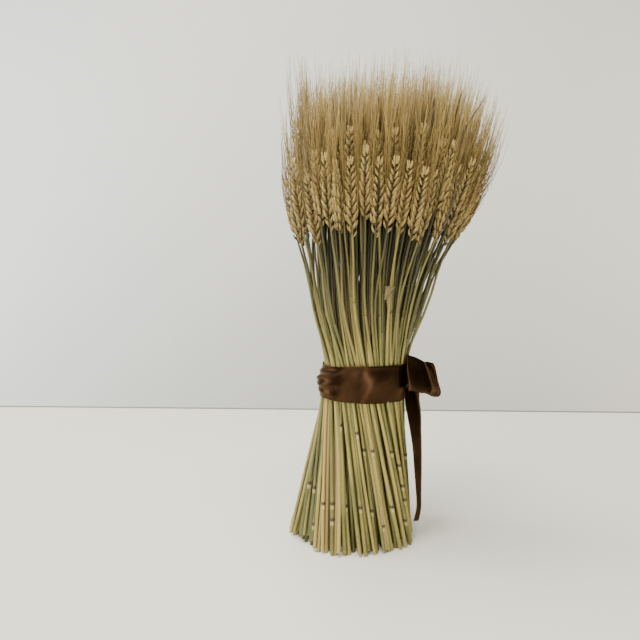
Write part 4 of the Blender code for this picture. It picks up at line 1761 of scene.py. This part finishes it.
@dataclass(frozen=True)
class Band:
    """The ribbon's turn round the waist, drawn tight, with its cloth gathered at the left of the front."""

    width: float = 0.038
    middle: float = 0.1675
    solid_thickness: float = 0.0009
    gap: float = 0.0003
    ring_sides: int = 36
    binding_height: float = 0.168
    binding_width: float = 0.0055
    binding_thickness: float = 0.0013
    grid: tuple[int, int] = (321, 27)
    clear: float = 0.0006
    # Where the gathers start round the waist and how far they run
    gathers: tuple[float, float] = (math.radians(180), math.radians(64))
    gathered: tuple[float, float, float] = (0.28, 0.72, 3.0)
    gathered_narrower: float = 0.10
    gathered_sink: float = 0.0006
    edge_ripples: tuple[Ripple, ...] = (Ripple(0.00035, 3, 0, 0.7), Ripple(0.00025, 7, 0, 2.1))
    soft_ripples: tuple[Ripple, ...] = (Ripple(0.00035, 4, 2.4, 0.0), Ripple(0.0003, 9, -3.5, 1.0))
    softest: float = -0.0004
    gathered_firmer: float = 0.6
    folds: tuple[Fold, ...] = (
        Fold(0.10, 0.80, 0.13, 0.0030), Fold(-0.22, 0.22, 0.16, 0.0019), Fold(-0.62, -0.10, 0.14, 0.0013),
        Fold(0.55, 0.75, 0.10, 0.0016),
    )
    fold_run: tuple[float, float, float] = (0.20, 0.62, 2.6)
    fold_stagger: float = 0.1
    bulge: float = 0.0020
    bulge_across: tuple[float, float] = (-0.12, 0.55)
    bulge_run: tuple[float, float] = (0.04, 0.30)

    def flat_side(self, clear: float) -> float:
        """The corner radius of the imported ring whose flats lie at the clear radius."""
        return clear / math.cos(math.pi / self.ring_sides)

    def inner_radius(self, height: np.ndarray) -> np.ndarray:
        """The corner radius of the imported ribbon's inner side.

        Args:
            height: The heights.

        Returns:
            The radius at each height.
        """
        binding = self.flat_side(FORM.ring_reach(self.binding_height - self.binding_width / 2) + self.gap)
        edge = np.array([self.flat_side(FORM.ring_reach(float(z)) + self.gap) for z in np.ravel(height)])
        across = (np.ravel(height) - self.middle) / (self.width / 2)
        over = binding + self.binding_thickness + 2 * self.gap
        radius = edge + np.maximum(over - edge, 0) * np.cos(np.clip(across, -1, 1) * math.pi / 2)
        return radius.reshape(np.shape(height))

    def points(self) -> np.ndarray:
        """The turn round the waist.

        Returns:
            A grid of points, round the waist by across the ribbon.
        """
        rows, columns = self.grid
        angle = np.linspace(0, math.tau, rows)[:, None]
        across = np.linspace(-1, 1, columns)[None, :]
        run = (angle - self.gathers[0]) / self.gathers[1]
        drawn = hump(run, *self.gathered)
        half = self.width / 2
        height = self.middle + half * across * (1 - self.gathered_narrower * drawn)
        height = height + ripples(self.edge_ripples, angle, across) * (1 - drawn) - self.gathered_sink * drawn
        base = self.inner_radius(np.clip(height, self.middle - half, self.middle + half))
        soft = np.maximum(ripples(self.soft_ripples, angle, across), self.softest)
        middle, reach, power = self.fold_run
        folds = sum(
            fold.height * hump(across, fold.start + fold.rise * run, fold.half_wide)
            * hump(run, middle + self.fold_stagger * fold.start, reach, power) for fold in self.folds
        )
        bulge = self.bulge * hump(across, *self.bulge_across) * hump(run, *self.bulge_run)
        radius = base + self.clear + soft * (1 - self.gathered_firmer * drawn) + folds + bulge
        x = FORM.straight_lean(height) + radius * np.cos(angle)
        return np.stack((x, radius * np.sin(angle), height), -1)


@dataclass(frozen=True)
class Knot:
    """The knot: the ribbon wrapped over itself once, plump, with creases along the wrap."""

    size: Place = (0.012, 0.021, 0.027)
    sink: float = 0.0006
    grid: tuple[int, int] = (73, 25)
    squareness: float = 0.62
    # The least size at the wrap's rims, and the two powers of the curve up to its middle
    rim: tuple[float, float, float] = (0.30, 3.2, 0.42)
    crease_depth: float = 0.055
    creases: float = 10.0
    crease_wander: float = 1.3
    waist: float = 0.07
    flare: float = 0.10

    def points(self, band: Band) -> np.ndarray:
        """The knot's wrap, on the band's +X side.

        Args:
            band: The band that it is tied on.

        Returns:
            A grid of points, round the wrap by across it.
        """
        rows, columns = self.grid
        turn = np.linspace(0, math.tau, rows)[:, None]
        across = np.linspace(-1, 1, columns)[None, :]
        least, outer, inner = self.rim
        rim = least + (1 - least) * (1 - np.abs(across) ** outer) ** inner
        wander = self.crease_wander * np.sin(turn * 2)
        crease = 1 - self.crease_depth * (0.5 + 0.5 * np.cos(across * self.creases + wander)) ** 2
        x, z = (np.sign(way) * np.abs(way) ** self.squareness for way in (np.cos(turn), np.sin(turn)))
        y = across * (1 - self.waist + self.waist * np.cos(turn * 2))
        flare = 1 - self.flare + self.flare * across**2
        shape = np.stack((x * rim * crease, y + 0 * x, z * rim * flare * crease), -1)
        shape = shape * np.array(self.size) / 2
        reach = float(band.inner_radius(np.array(band.middle))) + band.solid_thickness - self.sink
        return np.array((float(FORM.lean(band.middle)) + reach + self.size[0] / 2, 0.0, band.middle)) + shape


@dataclass(frozen=True)
class Loop:
    """A loop of the bow: out from the knot, round its fold and back, creased where the knot grips it."""

    # Across, front to back, up and half width in mm, and how far the upper edge leans across and back
    path: tuple[tuple[float, ...], ...]
    phase: float
    grid: tuple[int, int] = (111, 21)
    grip: float = 4.5
    crease_height: float = 0.0016
    creases: float = 8.5
    soft_height: float = 0.0009
    soft_across: float = 2.3
    soft_along: float = 6.0
    # How far the lower and the upper corner of the fold curl, and where along the loop
    corners: tuple[float, float] = (0.0062, 0.0018)
    corner_power: int = 4
    corner_place: tuple[float, float] = (0.62, 0.24)
    corner_drop: float = 0.35

    def points(self) -> np.ndarray:
        """The loop's surface.

        Returns:
            A grid of points, along the loop by across it.
        """
        rows, columns = self.grid
        path = smooth(self.path, rows)
        across = np.linspace(-1, 1, columns)[None, :]
        share = np.linspace(0, 1, rows)[:, None]
        line, half = path[:, None, :3] / MM_PER_METRE, path[:, 3, None] / MM_PER_METRE
        upward = unit(np.column_stack((path[:, 4:], np.ones(rows))))[:, None]
        out = unit(np.cross(np.gradient(line[:, 0], axis=0), upward[:, 0]))[:, None]
        grip = np.exp(-np.sin(np.pi * share) * self.grip)
        relief = self.crease_height * grip * np.sin(across * self.creases + self.phase)
        wave = np.sin(across * self.soft_across + share * self.soft_along + self.phase)
        relief = relief + self.soft_height * (1 - grip) * wave
        corner = np.where(across < 0, *self.corners) * across**self.corner_power
        corner = corner * hump(share, *self.corner_place)
        curl = np.stack((-corner, 0 * corner, -self.corner_drop * corner * np.sign(across)), -1)
        return line + upward * (half * across)[..., None] + out * relief[..., None] + curl


@dataclass(frozen=True)
class Tail:
    """A hanging end, nearly edge-on to the front, whose near side curls forward, with a slanting cut."""

    # The near edge's place, the width and how much of it curls, in mm, and how far that turns, in degrees
    path: tuple[tuple[float, ...], ...]
    # How far the cut end falls from its near to its far edge, in mm
    slant: float
    slant_power: int = 3
    grid: tuple[int, int] = (91, 27)
    turn: float = math.radians(8.2)
    curl_softness: float = 1.1
    # The pleats under the knot: how far they turn the cloth, how soon they fade and how many there are
    pleats: tuple[float, float, float] = (0.5, 9.0, 15.0)

    def points(self) -> np.ndarray:
        """The tail's surface.

        Returns:
            A grid of points, along the tail by across it.
        """
        rows, columns = self.grid
        path = smooth(self.path, rows)
        share = np.linspace(0, 1, rows)[:, None]
        across = np.linspace(0, 1, columns)[None, :]
        width, curled = path[:, 3, None], path[:, 4, None]
        between = (across[:, :-1] + across[:, 1:]) / 2
        curl = 1 / (1 + np.exp((width * between - curled) / self.curl_softness))
        turn = self.turn + (np.radians(path[:, 5, None]) - self.turn) * curl
        height, fade, pleats = self.pleats
        turn = turn + height * np.exp(-share * fade) * np.cos(across[:, 1:] * pleats)
        step = width * (across[:, 1:] - across[:, :-1])
        start = np.zeros_like(share)
        x = path[:, 0, None] + np.hstack((start, np.cumsum(np.sin(turn) * step, 1)))
        y = path[:, 1, None] + np.hstack((start, np.cumsum(np.cos(turn) * step, 1)))
        z = path[:, 2, None] - self.slant * share**self.slant_power * across
        return np.stack((x, y, z), -1) / MM_PER_METRE


FRONT_LOOP = Loop(phase=0.4, path=(
    (65, -5, 171, 11, 0, 0), (60.8, -13, 174.5, 15, 0, 0), (58.4, -21, 176.8, 18, -0.02, 0),
    (57.4, -25.8, 177.4, 19, -0.03, 0.08), (57.9, -26.8, 177.4, 19, -0.04, 0.12),
    (59.2, -27, 177.3, 19, -0.05, 0.13), (65, -26.3, 176.2, 19, -0.10, 0.14),
    (73, -24.6, 173.9, 19, -0.16, 0.15), (80.5, -22.6, 170.8, 19, -0.22, 0.16),
    (84.6, -24.4, 169.2, 18.8, -0.23, 0.15), (89, -27.4, 168.6, 18.6, -0.24, 0.14),
    (90.6, -22.5, 168.6, 18.5, -0.24, 0.14), (87, -16, 169.4, 18, -0.22, 0.14),
    (81, -11, 170.4, 16.5, -0.14, 0.08), (74.5, -7, 170.5, 12.5, -0.05, 0.02), (70.5, -4, 170, 10, 0, 0),
))
REAR_LOOP = Loop(phase=2.0, path=(
    (65, 5, 166, 10, 0, 0), (62.5, 12, 165, 14, 0, 0), (62, 19, 164, 17, -0.02, -0.02),
    (65, 26, 162.5, 19, -0.06, -0.07), (71, 33, 161, 19, -0.14, -0.15), (78, 39, 159.5, 19, -0.2, -0.24),
    (83.5, 41.5, 158.5, 19, -0.24, -0.3), (85.8, 38, 158.5, 19, -0.24, -0.3),
    (83.5, 30, 160, 18.5, -0.2, -0.25), (78.5, 20, 162.5, 16.5, -0.12, -0.14),
    (73.5, 10, 164.5, 12.5, -0.04, -0.05), (70.5, 4, 166, 10, 0, 0),
))
FRONT_TAIL = Tail(slant=8.0, path=(
    (61, -8, 163, 14, 14, 60), (57.2, -14, 155.5, 22, 19, 58), (56, -21, 145, 32, 19.5, 58),
    (58, -27, 131, 38, 17.5, 60), (60.6, -29, 116, 38, 14.2, 60), (63, -30, 100, 38, 11.8, 60),
    (65.4, -30, 72, 38, 9.2, 60), (67.4, -30, 48, 38, 6.4, 60), (67.6, -30, 35, 38, 6.4, 58),
    (64.8, -30, 21.5, 38, 8.5, 48),
))
REAR_TAIL = Tail(slant=4.0, path=(
    (66, 0, 163, 14, 0, 20), (67.5, 2.5, 154, 22, 0, 20), (70, 5, 142, 32, 0, 20), (72.2, 7, 128, 38, 1, 20),
    (73.3, 7, 112, 38, 2, 25), (74.6, 7, 95, 38, 2, 25), (76.3, 7, 72, 38, 2, 25), (76, 7, 54, 38, 2, 25),
    (75.3, 7, 44, 38, 2, 25),
))


@dataclass(frozen=True)
class SatinRibbon:
    """One length of satin: its turn round the waist, knot, two loops and two tails."""

    band: Band = Band()
    knot: Knot = Knot()
    loops: tuple[Loop, Loop] = (FRONT_LOOP, REAR_LOOP)
    tails: tuple[Tail, Tail] = (FRONT_TAIL, REAR_TAIL)
    thickness: float = 0.00042
    flat_length: float = 0.86
    # On the cloth's map, how far apart the parts of the ribbon lie, and the rows of one part
    part_apart: float = 0.4
    row_apart: float = 0.001

    def build(self) -> bpy.types.Object:
        """Builds the ribbon as one piece.

        Returns:
            The ribbon.
        """
        round_parts = [self.band.points(), self.knot.points(self.band)]
        grids = [*round_parts, *(part.points() for part in (*self.loops, *self.tails))]
        verts, faces, cloth = [], [], []
        first = 0
        for number, grid in enumerate(grids):
            closed = number < len(round_parts)
            grid = grid[:-1] if closed else grid
            rows, columns = grid.shape[:2]
            verts.append(grid.reshape(-1, 3))
            step = self.band.width / (columns - 1)
            for i in range(rows if closed else rows - 1):
                here, after = first + i * columns, first + (i + 1) % rows * columns
                run = number * self.part_apart + i * self.row_apart
                for j in range(columns - 1):
                    faces.append((here + j, after + j, after + j + 1, here + j + 1))
                    cloth += [(run, j * step), (run + self.row_apart, j * step),
                              (run + self.row_apart, (j + 1) * step), (run, (j + 1) * step)]
            first += rows * columns
        mesh = bpy.data.meshes.new("satin_ribbon")
        mesh.from_pydata(np.concatenate(verts).tolist(), [], faces)
        mesh.shade_smooth()
        layer = mesh.uv_layers.new(name=CLOTH)
        layer.uv.foreach_set("vector", np.array(cloth, np.float32).ravel())
        piece = link("satin_ribbon", mesh, [SatinFinish().material()])
        solid = piece.modifiers.new("cloth_thickness", "SOLIDIFY")
        solid.thickness, solid.offset = self.thickness, 0.0
        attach(piece, BODY)
        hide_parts("ribbon")
        return piece


def finish_binding() -> bpy.types.Object:
    """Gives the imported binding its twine.

    Returns:
        The binding.
    """
    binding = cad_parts["binding_band"]
    binding.data.materials.clear()
    binding.data.materials.append(TwineFinish().material())
    return binding


# The studio


@dataclass(frozen=True)
class Lamp:
    """A soft lamp: where it stands, what it is turned to, its width and height, its watts and its colour."""

    name: str
    place: Place
    aim: Place
    size: tuple[float, float]
    power: float
    colour: Colour

    def add(self) -> None:
        """Adds the lamp to the scene."""
        data = bpy.data.lights.new(self.name, "AREA")
        data.shape = "RECTANGLE"
        data.size, data.size_y = self.size
        data.energy, data.color = self.power, self.colour
        lamp = bpy.data.objects.new(self.name, data)
        lamp.location = self.place
        lamp.visible_camera = False
        lamp.rotation_euler = (Vector(self.aim) - Vector(self.place)).to_track_quat("-Z", "Y").to_euler()
        bpy.context.scene.collection.objects.link(lamp)


@dataclass(frozen=True)
class Studio:
    """The table with a painted shadow line along its back edge, the wall behind it, the lights and the
    camera.
    """

    camera_place: Place = (-0.033, -0.683, 0.278)
    camera_pitch: float = math.radians(-4)
    lens: float = 36.0
    sensor: float = 36.0
    clip: tuple[float, float] = (0.01, 100.0)
    table_side: float = 1.3
    table_front: float = -1.5
    table_end: float = 0.6235
    table_slant: float = -0.0458
    table: PlainFinish = PlainFinish("table_top", (0.905, 0.880, 0.748), (0.875, 0.850, 0.722), 0.45)
    # A thin dark strip standing along the table's back edge is painted shadow where the table meets the wall:
    # its height and its finish
    shadow_strip_height: float = 0.0026
    edge: PlainFinish = PlainFinish("painted_shadow_strip", (0.30, 0.30, 0.28), (0.24, 0.24, 0.22), 0.8)
    wall_side: float = 1.6
    wall_at: float = 1.9
    wall_heights: tuple[float, float] = (-1.0, 1.8)
    wall: PlainFinish = PlainFinish("wall", (0.85, 0.845, 0.80), (0.82, 0.815, 0.775), 0.8)
    lamps: tuple[Lamp, ...] = (
        Lamp("ceiling", (-0.5, -0.3, 2.3), (0.03, 0.0, 0.25), (2.2, 1.8), 112.0, (1.0, 0.99, 0.96)),
        Lamp("window", (-1.35, -1.75, 1.05), (0.03, 0.0, 0.25), (1.6, 1.3), 27.0, (1.0, 0.985, 0.95)),
        Lamp("window_bright", (0.08, -1.40, 0.40), (0.03, 0.0, 0.25), (0.22, 0.76), 8.0, (1.0, 0.97, 0.92)),
        Lamp("wall_light_0", (-2.1, 0.75, 0.35), (-0.4, 1.9, 0.35), (1.0, 2.2), 48.0, (0.96, 1.0, 1.0)),
        Lamp("wall_light_2", (2.1, 0.75, 0.35), (0.4, 1.9, 0.35), (1.0, 2.2), 32.0, (1.0, 0.94, 0.66)),
    )
    room: Colour = (0.93, 0.94, 0.93)
    room_light: float = 0.10

    def camera(self) -> None:
        """Sets the camera where the photograph was taken from."""
        data = bpy.data.cameras.new("camera")
        data.lens, data.sensor_width = self.lens, self.sensor
        data.clip_start, data.clip_end = self.clip
        camera = bpy.data.objects.new("camera", data)
        camera.location = self.camera_place
        camera.rotation_euler = (math.pi / 2 + self.camera_pitch, 0, 0)
        bpy.context.scene.collection.objects.link(camera)
        bpy.context.scene.camera = camera

    @staticmethod
    def sheet(name: str, corners: list[Place], material: Material) -> None:
        """Adds a flat surface of the studio.

        Args:
            name: Its name.
            corners: Its corners.
            material: Its finish.
        """
        mesh = bpy.data.meshes.new(name)
        mesh.from_pydata(corners, [], [tuple(range(len(corners)))])
        link(name, mesh, [material])

    def build(self) -> None:
        """Builds the studio round the sheaf."""
        table, wall = self.table.material(), self.wall.material()
        side, front, rise = self.table_side, self.table_front, self.shadow_strip_height
        left, right = ((x, self.table_end + self.table_slant * x) for x in (-side, side))
        self.sheet("table", [(-side, front, 0), (side, front, 0), (*right, 0), (*left, 0)], table)
        # The painted shadow strip along the table's back edge
        edge = [(*left, 0), (*right, 0), (*right, rise), (*left, rise)]
        self.sheet("painted_shadow_strip", edge, self.edge.material())
        (low, high), side, at = self.wall_heights, self.wall_side, self.wall_at
        self.sheet("wall", [(-side, at, low), (side, at, low), (side, at, high), (-side, at, high)], wall)
        for lamp in self.lamps:
            lamp.add()
        world = bpy.data.worlds.new("room")
        world.use_nodes = True
        background = world.node_tree.nodes["Background"]
        background.inputs["Color"].default_value = (*self.room, 1)
        background.inputs["Strength"].default_value = self.room_light
        bpy.context.scene.world = world


def main() -> None:
    """Builds the studio and the sheaf, and reports each piece."""
    logging.basicConfig(level=logging.INFO, format="%(message)s")
    studio = Studio()
    studio.camera()
    studio.build()
    for piece in [*Wheat().build(), SatinRibbon().build(), finish_binding()]:
        LOG.info("%s: %d faces", piece.name, len(piece.data.polygons))


if __name__ == "__main__":
    main()
